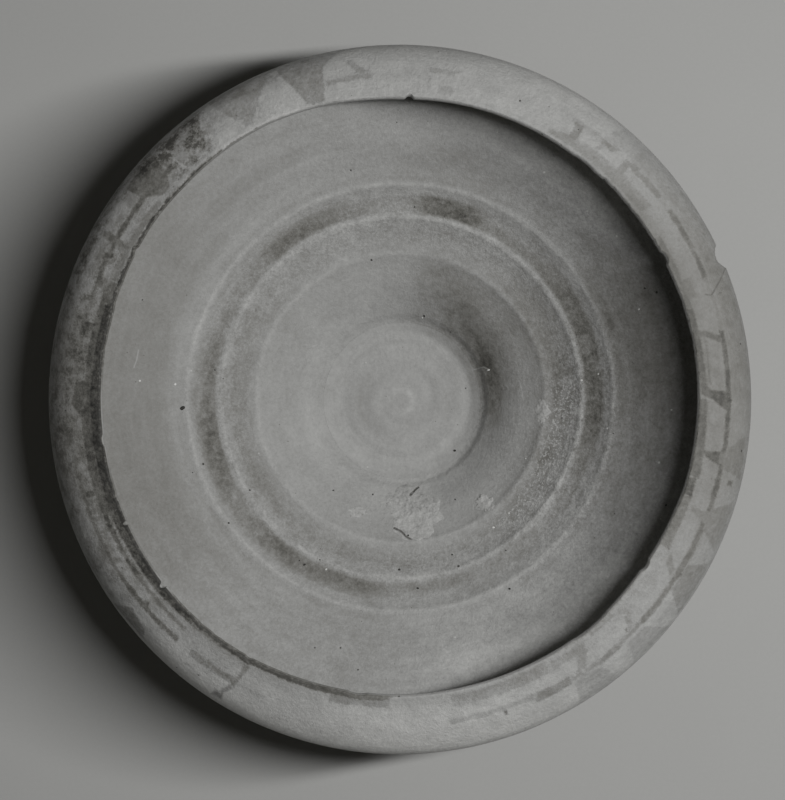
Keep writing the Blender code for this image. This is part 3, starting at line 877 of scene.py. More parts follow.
# %% Strokes of the brush
# strength, then corners as degrees round the band and mm from its centre
STROKES = {
    "ring line": (
        (0.8, (1.1, 140), (12, 139.8), (12, 137.6), (1.1, 137.8)),
        (0.3, (12, 139.6), (21.5, 139.6), (21.5, 137.8), (12, 137.8)),
        (0.72, (21.5, 139.9), (35, 139.8), (35, 137.5), (21.5, 137.6)),
        (0.25, (35, 139.6), (37.5, 139.6), (37.5, 137.5), (35, 137.5)),
        (0.55, (37.5, 139.6), (45.2, 139.8), (45.2, 137.3), (37.5, 137.3)),
        (0.6, (48.2, 139.9), (52.2, 139.5), (51.8, 136.8), (51, 136.8), (49.2, 137.5)),
        (0.35, (52.2, 139.6), (58, 139.5), (58, 137.8), (52.2, 137.5)),
        (0.5, (79, 140), (84.5, 139.8), (84.5, 137.8), (80, 137.8)),
        (0.5, (94.5, 137.2), (102.8, 136.9), (102.8, 134.8), (94.5, 135.2)),
        (0.86, (134, 137.3), (150.5, 137.2), (150.5, 134.8), (134, 134.9)),
        (0.78, (150.5, 136.9), (161, 136.6), (161, 134.6), (150.5, 134.7)),
        (0.42, (161, 136.3), (179.5, 135.8), (179.5, 134.6), (161, 135)),
        (0.45, (190, 139.3), (199, 139), (199, 137.7), (190, 138)),
        (0.68, (199, 139), (213, 139.2), (213, 137.6), (199, 137.6)),
        (0.84, (212, 139.3), (227.5, 138.3), (227.5, 136.2), (212, 137.2)),
        (0.7, (230.5, 138.8), (240.2, 138.7), (240.2, 135.6), (230.5, 136)),
        (0.3, (240.2, 138.7), (246, 138.3), (246, 136.8), (240.2, 136.8)),
        (0.42, (279, 138.5), (295.5, 138.3), (295.5, 136), (279, 136.2)),
        (0.66, (294.5, 140.2), (301.6, 140.3), (301.6, 137), (295, 136.4)),
        (0.5, (301.6, 139.8), (307.2, 139.8), (307.2, 137.8), (301.6, 137.8)),
        (0.65, (307.2, 140.6), (312.1, 140.3), (312.1, 137.9), (307.2, 138.1)),
        (0.6, (312.1, 139.8), (317.2, 139.6), (317.2, 137.5), (312.1, 137.6)),
        (0.72, (317.2, 139.9), (338.5, 139.6), (338.5, 137.3), (317.2, 137.4)),
        (0.78, (338.5, 139.6), (360, 139.6), (360, 137.6), (338.5, 137.5)),
    ),
    "hanging triangles": (
        (0.6, (99, 149.4), (110.4, 148.4), (110.2, 144.4), (102.8, 143.4)),
        (0.64, (102.8, 144), (110.2, 145.4), (107.2, 129.6), (106.2, 128.2), (103.9, 128.5)),
        (0.48, (112, 148.4), (122.8, 148.4), (122.5, 145.3), (119.2, 130.6), (118.2, 130.6),
         (112.8, 144.1)),
        (0.42, (125.2, 146.8), (133, 148), (133, 136), (131.8, 129.4), (130, 131), (127.2, 131.7),
         (125.6, 144.1)),
        (0.72, (129.5, 137.5), (130.6, 139.1), (132.6, 139.5), (132.8, 136), (131.9, 131)),
        (0.8, (135.2, 145.7), (142.6, 144.9), (141.6, 136), (139.4, 131), (137.2, 131),
         (135.6, 135.6)), (0.74, (215.6, 148.4), (223.2, 147.6), (222.2, 144.5), (218.2, 142.4)),
        (0.42, (301, 149.5), (308.5, 149.5), (307.2, 141.4), (305, 139.9), (302, 139.9)),
        (0.38, (312, 149.5), (320, 149.5), (317.2, 140.3), (313, 140.3)),
        (0.52, (322.5, 149.4), (332.2, 148.8), (330, 140.3), (325, 139.9)),
        (0.38, (334, 148.8), (343, 148), (341.2, 141.4), (339.8, 135.6), (338.9, 134.8),
         (336.5, 140.3)),
        (0.4, (346.8, 148.4), (354, 147.2), (352, 141.8), (350, 136), (349, 136), (347.8, 140.3)),
        (0.8, (348.2, 137.5), (350.8, 137.5), (350.3, 130.4), (349.5, 130.4)),
    ),
    "short bars": (
        (0.84, (-2.6, 139.9), (1.4, 139.9), (1.6, 131), (0.1, 131), (-1.2, 134.6)),
        (0.76, (-0.1, 131.4), (1.7, 131.4), (3, 127.1), (0.9, 127.1)),
        (0.66, (9.9, 137.8), (11.1, 137.8), (12.5, 131.7), (11.4, 131.6)),
        (0.55, (11.4, 131.9), (12.5, 131.7), (12.6, 127.9), (11.9, 128)),
        (0.5, (45.2, 139.1), (46.5, 139.1), (46.5, 131.7), (45.2, 131.7)),
        (0.35, (50, 138.7), (51.5, 138.7), (52, 133.3), (51.5, 132.9)),
        (0.62, (55.5, 138.7), (57.5, 138.7), (57.1, 133.9), (55.6, 133.9)),
        (0.62, (55.6, 134.2), (57.1, 134.2), (57.4, 130.8), (55.1, 130.8)),
        (0.3, (84.2, 136.4), (84.7, 136.4), (84.7, 130.6), (84.2, 130.6)),
        (0.22, (86, 136.4), (86.5, 136.4), (86.7, 128.7), (86, 128.7)),
        (0.44, (95, 137.8), (98.2, 144.1), (99.1, 143.5), (96.7, 136.6)),
        (0.34, (79.8, 129.2), (82.8, 129.2), (82.6, 132.6), (80.2, 132.6)),
        (0.66, (150.4, 143.3), (151.3, 143.3), (150.8, 139.1), (149.8, 139.1)),
        (0.74, (149.9, 139.3), (151.2, 139.3), (152.4, 129.2), (150.5, 129.2)),
        (0.92, (153.2, 137.6), (154.6, 137.6), (154.3, 135), (153.5, 133.4), (153, 134.4)),
        (0.64, (157.7, 136.2), (159.6, 136.2), (159.3, 130.4), (157.9, 130.4)),
        (0.66, (165.9, 136), (167.7, 136), (167.6, 130.2), (166.1, 130.2)),
        (0.52, (174.5, 140.3), (176.2, 140.3), (175.2, 131), (174, 131)),
        (0.78, (177, 136), (181, 137.2), (183, 133.6), (182, 131), (176.5, 131)),
        (0.74, (196.6, 137.2), (197.6, 137.2), (197.5, 133.3), (196.8, 133.3)),
        (0.52, (209, 137.8), (210.3, 137.8), (210.6, 134.2), (209.8, 134)),
        (0.78, (218.4, 137.8), (219.8, 137.8), (219.2, 135), (218.5, 135.6)),
        (0.78, (237.5, 147.4), (239.6, 147.8), (239.3, 144.3), (238, 144.7)),
        (0.68, (238.4, 144.7), (239.3, 144.7), (240.2, 139.5), (239.5, 139.1)),
        (0.72, (239.4, 139.3), (240.3, 139.5), (240.6, 134.8), (239.8, 134.8)),
        (0.62, (239.8, 135), (240.6, 135), (241, 128.3), (239.8, 128.3)),
        (0.6, (183.5, 148.9), (184.2, 148.1), (182.6, 145.5), (181.9, 145.8)),
        (0.58, (184.2, 146.1), (185.2, 145.5), (186.6, 139.5), (185.5, 139.5)),
        (0.52, (185.4, 139.6), (186.6, 139.6), (186.8, 134.5), (185.6, 134.5)),
        (0.52, (187, 144.5), (189.5, 143.3), (189.9, 142.4), (187.5, 143.5)),
        (0.5, (303, 137.5), (305.2, 137.5), (307, 131.4), (305.2, 131)),
        (0.5, (314.5, 137.6), (315.8, 137.6), (317.3, 131.7), (316.2, 131.4)),
        (0.48, (326.5, 136.6), (328, 136.6), (330.2, 131.9), (328.6, 131.5)),
        (0.42, (338.3, 136.4), (339.6, 136.4), (340, 131), (339.2, 131)),
        (0.95, (288.6, 140.5), (289.2, 140.5), (289.1, 138.7), (288.7, 138.7)),
        (0.8, (345.2, 145), (346.2, 145), (346.1, 143.1), (345.4, 143.1)),
        (0.85, (314.4, 136.8), (315.1, 136.8), (315, 135.5), (314.5, 135.5)),
        (0.55, (2.2, 146.8), (3, 148.8), (3.8, 149.4), (3.9, 148.4), (3, 146.3)),
        (0.38, (6.9, 148.6), (7.5, 148.6), (7.7, 146.4), (7, 146.4)),
    ),
    "band by the lip": (
        (0.48, (2.8, 131.2), (12.2, 131.4), (12.2, 130.7), (2.8, 130.5)),
        (0.72, (2.2, 129.2), (17.2, 128.9), (17.2, 126.6), (2.2, 126.6)),
        (0.5, (17.2, 128.9), (32, 129.2), (32, 127), (17.2, 126.8)),
        (0.36, (19, 132.5), (22.8, 132.5), (22.8, 127.4), (19, 127.4)),
        (0.36, (37.5, 133.1), (54.5, 133.1), (54.5, 128), (37.5, 128)),
        (0.48, (54.5, 131.7), (57.5, 131.7), (60.8, 129.8), (60.8, 127.9), (54.2, 127.9)),
        (0.58, (140.4, 131), (151, 131), (151, 127.9), (140.4, 128.4)),
        (0.5, (151, 131.4), (157.5, 131.2), (157.5, 127.5), (151, 127.9)),
        (0.7, (157.5, 131.4), (180, 132), (180, 128.8), (157.5, 128.4)),
        (0.95, (162, 129.3), (180, 129.4), (180, 125.7), (162, 126.6)),
        (0.74, (157.5, 129), (162, 129.2), (162, 126.6), (157.5, 127)),
        (0.92, (125.2, 128.4), (145, 128.2), (145, 127.1), (125.2, 127.4)),
        (0.92, (144.8, 128.2), (148.8, 127.3), (148.5, 126.5), (144.8, 127.1)),
        (0.78, (179.8, 133.2), (201.5, 133.4), (201.5, 129.4), (179.8, 129.2)),
        (0.95, (179.8, 129.6), (201.5, 130), (201.5, 125.6), (179.8, 125.7)),
        (0.88, (201.5, 133.4), (214, 133.1), (214, 131), (201.5, 131.2)),
        (0.68, (214, 133), (227.2, 132.6), (227.2, 130.9), (214, 131)),
        (0.95, (201.5, 130), (217, 129.5), (227.5, 128.4), (227.5, 125.6), (201.5, 125.6)),
        (0.66, (227.5, 128.4), (240, 127.6), (240, 124.9), (227.5, 125.4)),
        (0.6, (240, 126.8), (257, 126.2), (257, 124), (240, 124.5)),
        (0.52, (257, 130), (268.2, 129.6), (268.2, 124.3), (257, 124.3)),
        (0.42, (280, 131.4), (299, 131.2), (299, 126), (280, 126)),
        (0.36, (300, 131), (307, 131), (307, 127.5), (300, 127.5)),
        (0.42, (309, 128.3), (314.5, 128.3), (314.5, 126.2), (309, 126.2)),
        (0.62, (331, 129.6), (341.5, 129.4), (341.5, 125.4), (331, 125.2)),
        (0.84, (341.5, 129.4), (345.2, 129.4), (345.2, 125.6), (341.5, 125.6)),
        (0.72, (345.2, 130.2), (360, 129.2), (360, 125.9), (345.2, 125.7)),
        (0.9, (349.4, 129.7), (354, 129.5), (354, 126.6), (349.4, 126.6)),
    ),
    "worn wash": (
        (0.2, (0, 149.4), (50, 149.4), (52, 139.9), (0, 139.9)),
        (0.32, (43.5, 144.9), (47, 145.3), (46.8, 142.2), (43.8, 141.8)),
        (0.26, (34.5, 145.7), (41.5, 139.9), (32, 139.9)),
    ),
}
DEGREE_LENGTH = 2.41     # mm round the band to a degree
FAR_OFF = 20.0           # mm, distance given where there is no paint


def painted(degrees, rho):
    """Distance to the nearest stroke in mm, below 0 inside it, and that stroke's strength.

    A convex patch is the overlap of half planes, so the distance is the largest of the
    distances to its sides' lines. The band is unrolled first: a degree counts as its
    length on the shoulder.
    """
    nearest = np.full(degrees.shape, FAR_OFF)
    strength = np.zeros(degrees.shape)
    for depth, *corners in [stroke for group in STROKES.values() for stroke in group]:
        ring = np.array(corners)
        middle = ring[:, 0].mean()
        u = ((degrees - middle + 180) % 360 - 180) * DEGREE_LENGTH
        sides = (ring - (middle, 0)) * (DEGREE_LENGTH, 1)
        ends = np.roll(sides, -1, axis=0)
        area = np.sum(sides[:, 0] * ends[:, 1] - ends[:, 0] * sides[:, 1])
        gap = np.full(degrees.shape, -FAR_OFF)
        for (a_u, a_v), (step_u, step_v) in zip(sides, (ends - sides) * np.sign(area)):
            line = ((u - a_u) * step_v - (rho - a_v) * step_u) / math.hypot(step_u, step_v)
            gap = np.maximum(gap, line)
        closer = gap < nearest
        nearest = np.where(closer, gap, nearest)
        strength = np.where(closer, depth, strength)
    return nearest, strength


band_x, band_y = (part - middle for part, middle in zip(shoulder_xyz, BAND_CENTRE))
band_theta = np.arctan2(band_y, band_x)
band_rho = np.hypot(band_x, band_y)
on_top = np.zeros((len(shoulder_r), 1))
on_top[len(hidden_stops) + 3:] = 1
on_top = on_top * (shoulder_z > KEEL_HEIGHT - 1.5)
paint_edge, paint_depth = painted(np.degrees(band_theta) % 360, band_rho)
paint_edge = np.where(on_top > 0, paint_edge, FAR_OFF)
print("paint covers", ((paint_edge < 0).sum() / (on_top > 0).sum()).round(2), "of the shoulder")

# %% Dirt, painted shade and light, and the dark line on the lip
# middle and spread in degrees, inner and outer radius in mm, strength
SHOULDER_DIRT = (
    (150, 46, 128, 149, 0.09), (130.4, 4.6, 130, 142, 0.44), (131, 8, 140, 147, 0.3),
    (158, 20, 130, 141, 0.12), (190, 32, 126, 149, 0.26), (146, 18, 142.5, 150, 0.3),
    (116, 12, 143, 149, 0.14), (121, 6, 130, 140, 0.05), (20, 28, 141, 151, 0.12),
    (300, 30, 126, 134, 0.12), (320, 24, 143, 151, 0.1), (0, 16, 128, 136, 0.1),
)
# painted shade and painted light, laid over the lamp's shading: above 0 darker, below 0 paler. The
# keel's lower side and the top are painted paler, the side towards the lamp and the left-hand side
# darker. The ring at 135.5 to 138 mm all round is a faint painted line of the band.
SHOULDER_SHADE = (
    (268, 34, 140, 152, -0.3), (256, 50, 144, 152, -0.3), (300, 24, 132, 152, -0.08),
    (276, 20, 128, 140, -0.25), (84, 30, 120, 152, -0.1), (8, 38, 120, 152, 0.33),
    (120, 14, 120, 140, -0.2), (180, 20, 120, 147, 0.26), (190, 30, 119, 128, 0.25),
    (250, 26, 134, 152, -0.12), (228, 12, 138, 152, -0.22), (240, 14, 146, 152, -0.15),
    (236, 20, 119, 130, 0.2), (292, 50, 145, 153, -0.25), (60, 70, 146, 153, -0.14),
    (112, 22, 146, 153, -0.18), (186, 26, 145, 153, 0.04), (180, 360, 135.5, 138, 0.1),
    (42, 16, 132, 152, -0.12), (36, 30, 119, 131, 0.14),
)
SHOULDER_ROUGH = ((180, 75, 0, 200, 1),)
LIP_RUBBED = (
    (185, 9, 0, 200, 0.8), (206, 9, 0, 200, 0.4), (218, 3, 0, 200, 0.9), (284, 20, 0, 200, 1),
    (100, 30, 0, 200, 0.3),
)
# degrees, width in mm and strength of the near-black line along the lip's outer edge, widest and
# darkest from 125 to 265 degrees
LIP_DARK_LINE = np.array((
    (0, 0.4, 0.15), (60, 0.4, 0.2), (110, 0.6, 0.3), (125, 0.9, 0.7), (135, 1.4, 1), (150, 1.7, 1),
    (165, 2.2, 1), (185, 2, 1), (200, 2.2, 1), (218, 2, 1), (228, 2.1, 0.9), (240, 2.6, 0.85),
    (255, 2.9, 0.7), (267, 2.6, 0.5), (270, 0.2, 0.1), (296, 0.4, 0.1), (304, 1.6, 0.25),
    (345, 1.4, 0.2),
))
FIRST_LIP = len(hidden_stops)
on_lip = np.zeros((len(shoulder_r), 1))
on_lip[FIRST_LIP - 1:FIRST_LIP + 3] = 1
lip_far = band_rho - band_rho[FIRST_LIP:FIRST_LIP + 6].min(axis=0)
lip_far[:FIRST_LIP - 1] = FAR_OFF
shoulder_fields = {
    "paint_edge": paint_edge,
    "paint_depth": paint_depth * on_top,
    "stain": smudges(band_theta, band_rho, SHOULDER_DIRT) * on_top,
    "shade": smudges(band_theta, band_rho, SHOULDER_SHADE, 4.0) * on_top,
    "rough": smudges(band_theta, band_rho, SHOULDER_ROUGH),
    "lip": round_bowl(band_theta, LIP_DARK_LINE[:, [0, 2]]) * (1 - 0.3 * on_lip),
    "lip_edge": lip_far - round_bowl(band_theta, LIP_DARK_LINE[:, :2]),
    "rubbed": smudges(band_theta, band_rho, LIP_RUBBED) * on_lip,
    "broken": broken_clay,
}
shoulder = skin("shoulder_painted", *shoulder_xyz, shoulder_fields)

# %% [markdown]
# ## Foot ring
#
# The bowl stands on a low ring that hides under the well. The photograph doesn't show
# it, so it is the plain trimmed ring that such bowls have: its top follows the wall, its
# side draws in a little, and its edges on the table are rubbed round.

# %% Foot ring under the well
FOOT_RADIUS, FOOT_WIDTH, FOOT_SEAT, FOOT_WAIST = 48.5, 8.5, 51.5, 1.5   # mm
FOOT_LAND, FOOT_ROUND = 1.0, 1.2                                       # mm
FOOT_COLUMNS = 480
foot_theta = turn_angles(FOOT_COLUMNS)
under_r, under_z = square_to(WALL_LINE[:, 0], WALL_LINE[:, 1], WALL_LINE[:, 2],
                             -WALL_LINE[:, 3] - HAIR)
foot_inner = FOOT_RADIUS - FOOT_WIDTH
seat_r = np.linspace(foot_inner, FOOT_SEAT, 14)
seat_z = np.interp(seat_r, under_r, under_z)
side_share = np.linspace(1, 0, 22)
side_r = (FOOT_RADIUS + (FOOT_SEAT - FOOT_RADIUS) * side_share ** 3
          - FOOT_WAIST * np.sin(np.pi * side_share))
side_z = FOOT_ROUND + (seat_z[-1] - FOOT_ROUND - FOOT_LAND) * side_share
corner = np.linspace(0, np.pi / 2, 5)[1:]
edge_r = np.concatenate([FOOT_RADIUS - FOOT_ROUND * (1 - np.cos(corner)),
                         foot_inner + FOOT_ROUND * (1 - np.sin(corner)),
                         [foot_inner, foot_inner]])
edge_z = np.concatenate([FOOT_ROUND * (1 - np.sin(corner)), FOOT_ROUND * (1 - np.cos(corner)),
                         [4.0, 9.0]])
foot_r = np.concatenate([seat_r, side_r, edge_r])[:, None]
foot_z = np.concatenate([seat_z, side_z, edge_z])[:, None]
free = soft_step(foot_z, 0.3, 2.0) * (1 - soft_step(foot_z, seat_z[0] - 3, seat_z[0] - 1))
dents = free * (0.14 * crumple(foot_theta, foot_z + 20 + 0 * foot_theta, 60, 3.5, 81)
                + 0.12 * np.sin(2 * np.pi * (foot_z / 3.1 - foot_theta / (2 * np.pi))))
foot_r = foot_r + dents * np.sign(foot_r - 44)
foot_stain = smudges(foot_theta, foot_z + 0 * foot_theta, ((0, 360, 0, 2.5, 0.25),))
foot = skin("foot_turned", *by_hand(foot_r, foot_z + 0 * foot_theta, foot_theta),
            {"stain": foot_stain})

# %% [markdown]
# ## Finishes of the four members
#
# Bare fired clay isn't one grey. The fire leaves broad clouds, the wheel draws fine
# lines round the bowl, temper leaves black pits and lime leaves white specks. All four
# members share this ground, so the eye finds no border where they are luted together.
# On the dry clay inside, stains gather in the grooves, painted shade and painted light lie over
# the lamp's shading in places, and the crests are rubbed pale.

# %% The ground of every member, and dry clay
def clay_ground(mix, grey, lines=1.0, grains=1.0):
    """Brightness and relief of bare clay.

    Brightness is the base grey times one plus clouds, grain and wheel lines, then pits
    and specks over it. Relief in mm is wheel lines plus grain, less the pits.
    """
    grain = mix.noise(1.7, 4.0, 0.8, 57.0)
    wheel = mix.around(1.5, 26.0)
    change = (0.28 * mix.noise(42.0, 3.0, 0.6) + 0.22 * mix.noise(9.0, 3.0, 0.6, 31.0)
              + 0.42 * grains * grain + 0.2 * lines * wheel
              + 0.16 * lines * mix.around(6.0, 9.0))
    pits = mix.grains(8.5, 0.62, 0.35)
    small_pits = mix.grains(3.6, 0.34, 0.34, 13.0)
    specks = mix.grains(9.5, 0.55, 0.30, 71.0)
    tone = cover((change + 1.0) * grey, pits * 0.85, 0.022)
    tone = cover(tone, small_pits * 0.6, 0.06)
    tone = cover(tone, specks * 0.55, 0.50)
    return tone, 0.12 * lines * wheel + 0.2 * grains ** 2 * grain - 0.25 * pits


def dry_clay(name, grey, roughness=0.86, lines=1.0, grains=1.0):
    """Bare clay with its stains, its painted shade and painted light, and rubbed crests."""
    mix = Finish(name, roughness)
    tone, relief = clay_ground(mix, grey, lines, grains)
    patchy = mix.ramp(mix.noise(4.0, 5.0, 0.7, 17.0), -0.2, 0.2, 0.7, 1.25)
    stain = mix.calc("MULTIPLY", mix.mark("stain"), patchy, clamp=True)
    rubbed = mix.ramp(mix.noise(3.0, 4.0, 0.6, 23.0), -0.16, 0.16, 0.4, 1.2)
    # the shade field is painted shade (above 0) and painted light (below 0)
    tone = tone * (1.0 - stain) * (1.0 - mix.mark("shade"))
    return mix, tone * (mix.mark("crest") * rubbed * 0.16 + 1.0), relief


disc_mix, disc_tone, disc_relief = dry_clay("disc_clay", 0.300, grains=1.2)
foot_mix, foot_tone, foot_relief = dry_clay("foot_clay", 0.262, 0.92, 1.3)

# %% [markdown]
# The lime dust on the wall lies in flecks, and a few old scratches cross it. They are
# thin enough for paint alone.

# %% Wall clay with scratches and lime dust
# places in XY, mm
PALE_SCRATCHES = (((-13.9, 30.7), (-10.0, 31.0), (-6.1, 30.6)),
                  ((32.8, 13.2), (36.8, 14.3), (39.5, 13.2)),
                  ((52.2, 8.1), (53.5, 3.7), (53.9, -0.2)),
                  ((-112.7, 21.3), (-113.4, 17.2), (-114.6, 13.8)))

wall_mix, wall_tone, wall_relief = dry_clay("wall_clay", 0.280, grains=1.45)
flecks = wall_mix.noise(1.3, 3.0, 0.8, 91.0)
rough = wall_mix.mark("rough")
tooth = rough * flecks
blots = rough * wall_mix.noise(6.0, 5.0, 0.8, 61.0)
streaks = rough * wall_mix.around(2.4, 44.0, 4.0, 0.7)
dusted = wall_mix.mark("dust") * wall_mix.ramp(flecks, 0.0, 0.13)
wall_tone = cover(wall_tone * (0.9 * tooth + blots + 0.6 * streaks + 1.0), dusted * 0.65, 0.46)
for places in PALE_SCRATCHES:
    wall_tone = cover(wall_tone, wall_mix.stroke(places, 0.4) * 0.35, 0.50)
wall_relief = wall_relief + 0.3 * tooth + 0.08 * dusted

# %% [markdown]
# The shoulder carries a smoother slip. Paint, the dark line on the lip and dirt all take light
# from it, each through its own noise, because paint wears in patches, the line on the lip
# crumbles and dirt stays in the hollows.

# %% Painted slip on the shoulder
SLIP_GREY = 0.305
DEEPEST_DIRT = 0.78    # share of the light that the dirtiest spot takes
SLIP_CRACK = ((137.8, 55.7), (134.4, 49.6), (130.8, 43.8), (128.2, 44.1))    # places in XY, mm

slip = Finish("painted_slip", 0.5, specular=0.35)
tone, relief = clay_ground(slip, SLIP_GREY, 0.7)
mottle = slip.noise(6.0, 4.0, 0.7, 11.0)
fine = slip.noise(1.5, 4.0, 0.8, 29.0)
coarse = slip.mark("rough") * 0.3 + 0.5
# the shade field is painted shade (above 0) and painted light (below 0)
tone = tone * (0.34 * mottle + 0.9 * (fine * coarse) + 1.0) * (1.0 - slip.mark("shade"))
inside = slip.ramp(slip.mark("paint_edge") + 1.6 * fine + 1.8 * mottle, 0.65, -0.65)
worn = slip.ramp(slip.noise(3.2, 5.0, 0.78, 19.0), -0.17, 0.14, 0.55, 1.05)
depth = slip.mark("paint_depth")
tone = tone * (1.0 - inside * worn * (0.56 * depth + 0.40 * slip.calc("POWER", depth, 4.0)))
crumbs = slip.ramp(slip.noise(1.8, 4.0, 0.75, 47.0), -0.2, 0.04, 0.4, 1.0)
nibbled = slip.ramp(slip.mark("lip_edge") + 2.2 * fine + 1.6 * mottle, 0.35, -0.35)
tone = cover(tone, crumbs * (nibbled * slip.mark("lip")), 0.032)
tone = cover(tone, crumbs * slip.mark("rubbed"), 0.36)
dirt_noise = slip.noise(6.5, 5.0, 0.72, 37.0) + 0.4 * slip.noise(1.1, 4.0, 0.8, 83.0)
dirt = slip.ramp(dirt_noise, -0.12, 0.17, 0.1, 1.75) + 2.2 * slip.grains(2.4, 0.42, 0.3, 23.0)
dirty = slip.calc("MINIMUM", slip.mark("stain") * dirt, DEEPEST_DIRT)
broken = slip.mark("broken")
tone = cover(tone * (1.0 - dirty), broken * 0.6, 0.17)
crack = slip.stroke(SLIP_CRACK, 0.5, 0.35) * slip.ramp(fine, -0.25, 0.2)
tone = cover(tone, crack * 0.6, 0.05)
relief = relief + 0.38 * fine + 0.2 * mottle - 0.4 * crack
slip.feed(slip.shader.inputs["Roughness"], 0.25 * mottle + 0.2 * broken + 0.2 * dirty + 0.62)

# %% All four members dressed
dress(disc, disc_mix.finish(disc_tone, disc_relief), "base_disc")
dress(wall, wall_mix.finish(wall_tone, wall_relief), "bowl_wall")
dress(shoulder, slip.finish(tone, relief), "shoulder_rim")
dress(foot, foot_mix.finish(foot_tone, foot_relief), "foot_ring")

# %% [markdown]
# ## Crust, grits and specks
#
# Lime from the soil has dried on the wall below the well as a pale, cracked crust, and
# coarse grits and white grains stand out of the clay. They are too thick for bump
# alone, so each is a low solid set into the surface: its underside lies below the wall
# and its rim meets it.

# %% Lime crust on the wall
def on_inside(x, y, lift):
    """A place inside the bowl under a point in XY, raised by a lift in mm.

    The radius and direction of the point give a place on the inner line. Throwing marks
    and lift are added square to it, and the hand's drift comes last.
    """
    radius, theta = np.hypot(x, y), np.arctan2(y, x)
    line = WHOLE[:5 * SPAN_POINTS]
    height, slope = (np.interp(radius, line[:, 0], line[:, column]) for column in (1, 2))
    return by_hand(*square_to(radius, height, slope, throwing_marks(radius, theta) + lift), theta)


def crust(name, middle, reach, thick, seed, levels=26, columns=120):
    """A low patch with a ragged outline that is rough on top and lies in the wall below.

    Its outline is the reach times 1 plus ripples. Its top falls from the thickness to
    the rim as 1 - s^6 of the share s of the way out, and crumples laid over X and Y
    roughen it.
    """
    angle = turn_angles(columns)
    outline = 1 + 0.22 * ripple(angle, 7, seed) + 0.15 * ripple(angle, 19, seed + 1)
    outline = outline + 0.08 * ripple(angle, 47, seed + 2)
    share = np.concatenate([np.linspace(0, 1, levels), np.linspace(1, 0, 6)])[:, None]
    top = np.concatenate([np.ones(levels), np.zeros(6)])[:, None]
    x = middle[0] + reach[0] * share * outline * np.cos(angle)
    y = middle[1] + reach[1] * share * outline * np.sin(angle)
    across, up = 2 * np.pi * x / 400, y + 200
    rough = (0.5 * crumple(across, up, 140, 2.9, seed + 3)
             + 0.3 * crumple(across, up, 400, 1.0, seed + 4))
    lift = top * thick * (1 - share ** 6) * (1 + rough) - 0.12 + 0 * angle
    return skin(name, *on_inside(x, y, lift), {}, poles=True)


LIME_GREY = 0.345
# places in XY, mm
STRAW_GROOVES = (((4.6, -41.9), (6.6, -39.6), (9.6, -37.4), (10.4, -38.0)),
                 ((-2.6, -56.2), (0.4, -57.6), (2.6, -59.8), (6.6, -62.2)))
# name, middle and reach in XY in mm, thickness in mm, seed of its outline
CRUSTS = (("lime_crust", (4.6, -49.0), (12.0, 10.6), 0.6, 101),
          ("lime_clod", (36.9, -45.6), (4.2, 3.8), 0.55, 111),
          ("lime_flake", (-19.8, -49.6), (4.4, 2.2), 0.3, 131),
          ("lime_clod_right", (62.0, -6.0), (3.4, 5.2), 0.28, 121))

lime = Finish("lime", 0.95, specular=0.15)
clods = lime.noise(2.6, 5.0, 0.65, 5.0)
dust = lime.noise(0.9, 4.0, 0.6, 9.0)
lime_tone = 0.3 * clods + 0.24 * dust + LIME_GREY
lime_tone = cover(lime_tone, lime.ramp(clods, -0.10, -0.20) * 0.35, 0.14)
lime_relief = 0.5 * clods + 0.3 * dust
for places in STRAW_GROOVES:
    groove = lime.stroke(places, 0.75) * lime.ramp(dust, -0.16, 0.02)
    lime_tone = cover(lime_tone, groove * 0.75, 0.06)
    lime_relief = lime_relief - 0.6 * groove
lime_clay = lime.finish(lime_tone, lime_relief)
for settings in CRUSTS:
    dress(crust(*settings), lime_clay)

# %% [markdown]
# A grit is a squashed ball half sunk in the surface. Many of them share one mesh, and all
# are worked out at once in one array.

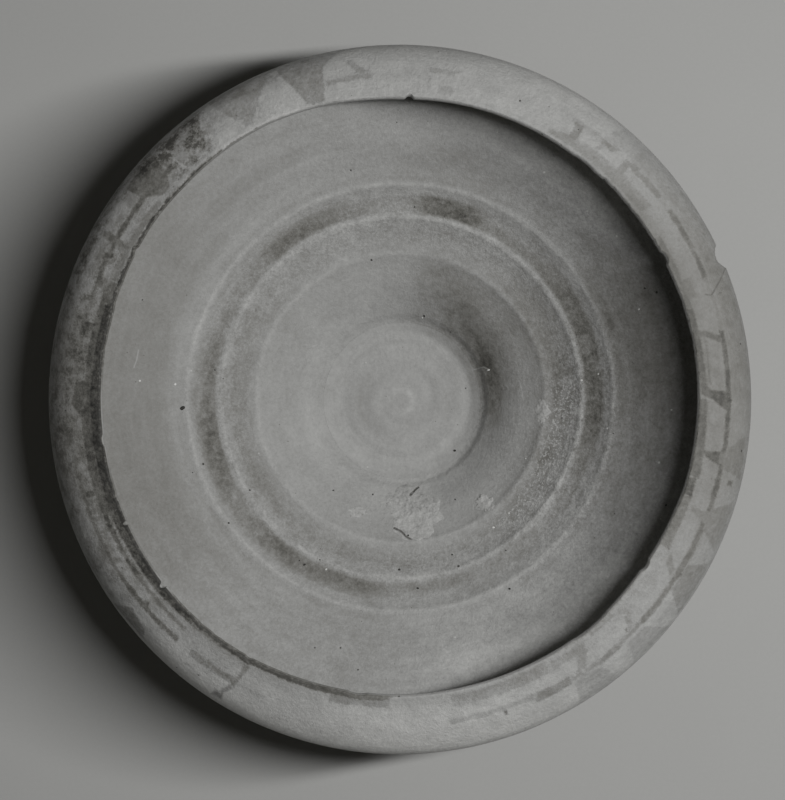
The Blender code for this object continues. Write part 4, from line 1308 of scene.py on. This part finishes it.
# %% Grits and white grains
# places in XY, mm
TEMPER_LUMP = ((-94.6, -4.5),)
TEMPER_GRITS = (
    (23.4, -22), (-80.6, 11.9), (105.6, 47.5), (-74.6, -54.5), (10, 37.5), (1.6, -58.4),
    (45.8, -66.4), (-12.6, -41.7), (-41.6, -72.4), (7.5, -82.7), (-65.7, -40.4), (-12.8, 60.3),
    (28.2, 5.6), (-1.4, -56), (-0.6, -74.7), (70.1, -8.7), (-90.1, -32.5), (-111.3, 42.5),
    (6.1, 82.5), (23.7, -44.1), (47.2, -82.7), (21.7, 30.4), (-36.7, -107.3), (-29.7, -40.1),
    (22.3, -68.1), (-21.3, 98.1), (3.2, -60), (5.1, -41.3), (114.6, -46), (69.2, 15.4),
)
LIME_GRAINS = (
    (117.2, -5), (-112.7, 7.5), (-97.6, 5.8), (103.2, 38.4), (112.2, -51.9), (89.7, -13.4),
    (78.9, 7.5), (38.3, 13.3), (9.1, 36.7), (40.2, -56.3), (85.7, 10.1), (61.8, 97.2),
    (-32.3, -74.6), (93.2, 69.8), (111.8, -27.8), (47, -50.1), (54.4, -26.4),
)
GRIT_LEVELS, GRIT_COLUMNS = 8, 10


def grit(name, places, size, rise, seed, material):
    """Many small lumps in one mesh.

    A ball is cos(v) cos(u), cos(v) sin(u), sin(v). Each has its own size, stretch and
    turn.
    """
    chance = np.random.default_rng(seed)
    middle_x, middle_y = np.array(places).T[..., None, None]
    u = turn_angles(GRIT_COLUMNS)
    v = np.linspace(-np.pi / 2, np.pi / 2, GRIT_LEVELS)[:, None]
    sizes = size * chance.uniform(0.55, 1.25, middle_x.shape)
    stretch = chance.uniform(0.6, 1.0, middle_x.shape)
    turn = chance.uniform(0, 2 * np.pi, middle_x.shape)
    lump = np.ones((len(middle_x), GRIT_LEVELS, GRIT_COLUMNS))
    lump[:, 1:-1] += 0.12 * chance.uniform(-1, 1, lump[:, 1:-1].shape)
    a, b = lump * np.cos(v) * np.cos(u), lump * np.cos(v) * np.sin(u) * stretch
    x = middle_x + sizes * (a * np.cos(turn) - b * np.sin(turn))
    y = middle_y + sizes * (a * np.sin(turn) + b * np.cos(turn))
    lift = rise * sizes * np.sin(v) * lump
    piece = skin(name, *on_inside(x, y, lift), {}, poles=True, sharp=math.pi)
    dress(piece, material)


def stone(name, grey, spread):
    """Plain stone grains with a little cloudiness."""
    mix = Finish(name, 0.8)
    cloud = mix.noise(0.6, 3.0)
    return mix.finish(cloud * spread + grey, cloud * 0.15)


dark_stone = stone("dark_stone", 0.030, 0.03)
grit("temper_grits", TEMPER_GRITS, 0.50, 0.5, 201, dark_stone)
grit("temper_lump", TEMPER_LUMP, 1.0, 0.4, 203, dark_stone)
grit("lime_grains", LIME_GRAINS, 0.55, 0.5, 202, stone("white_stone", 0.55, 0.15))
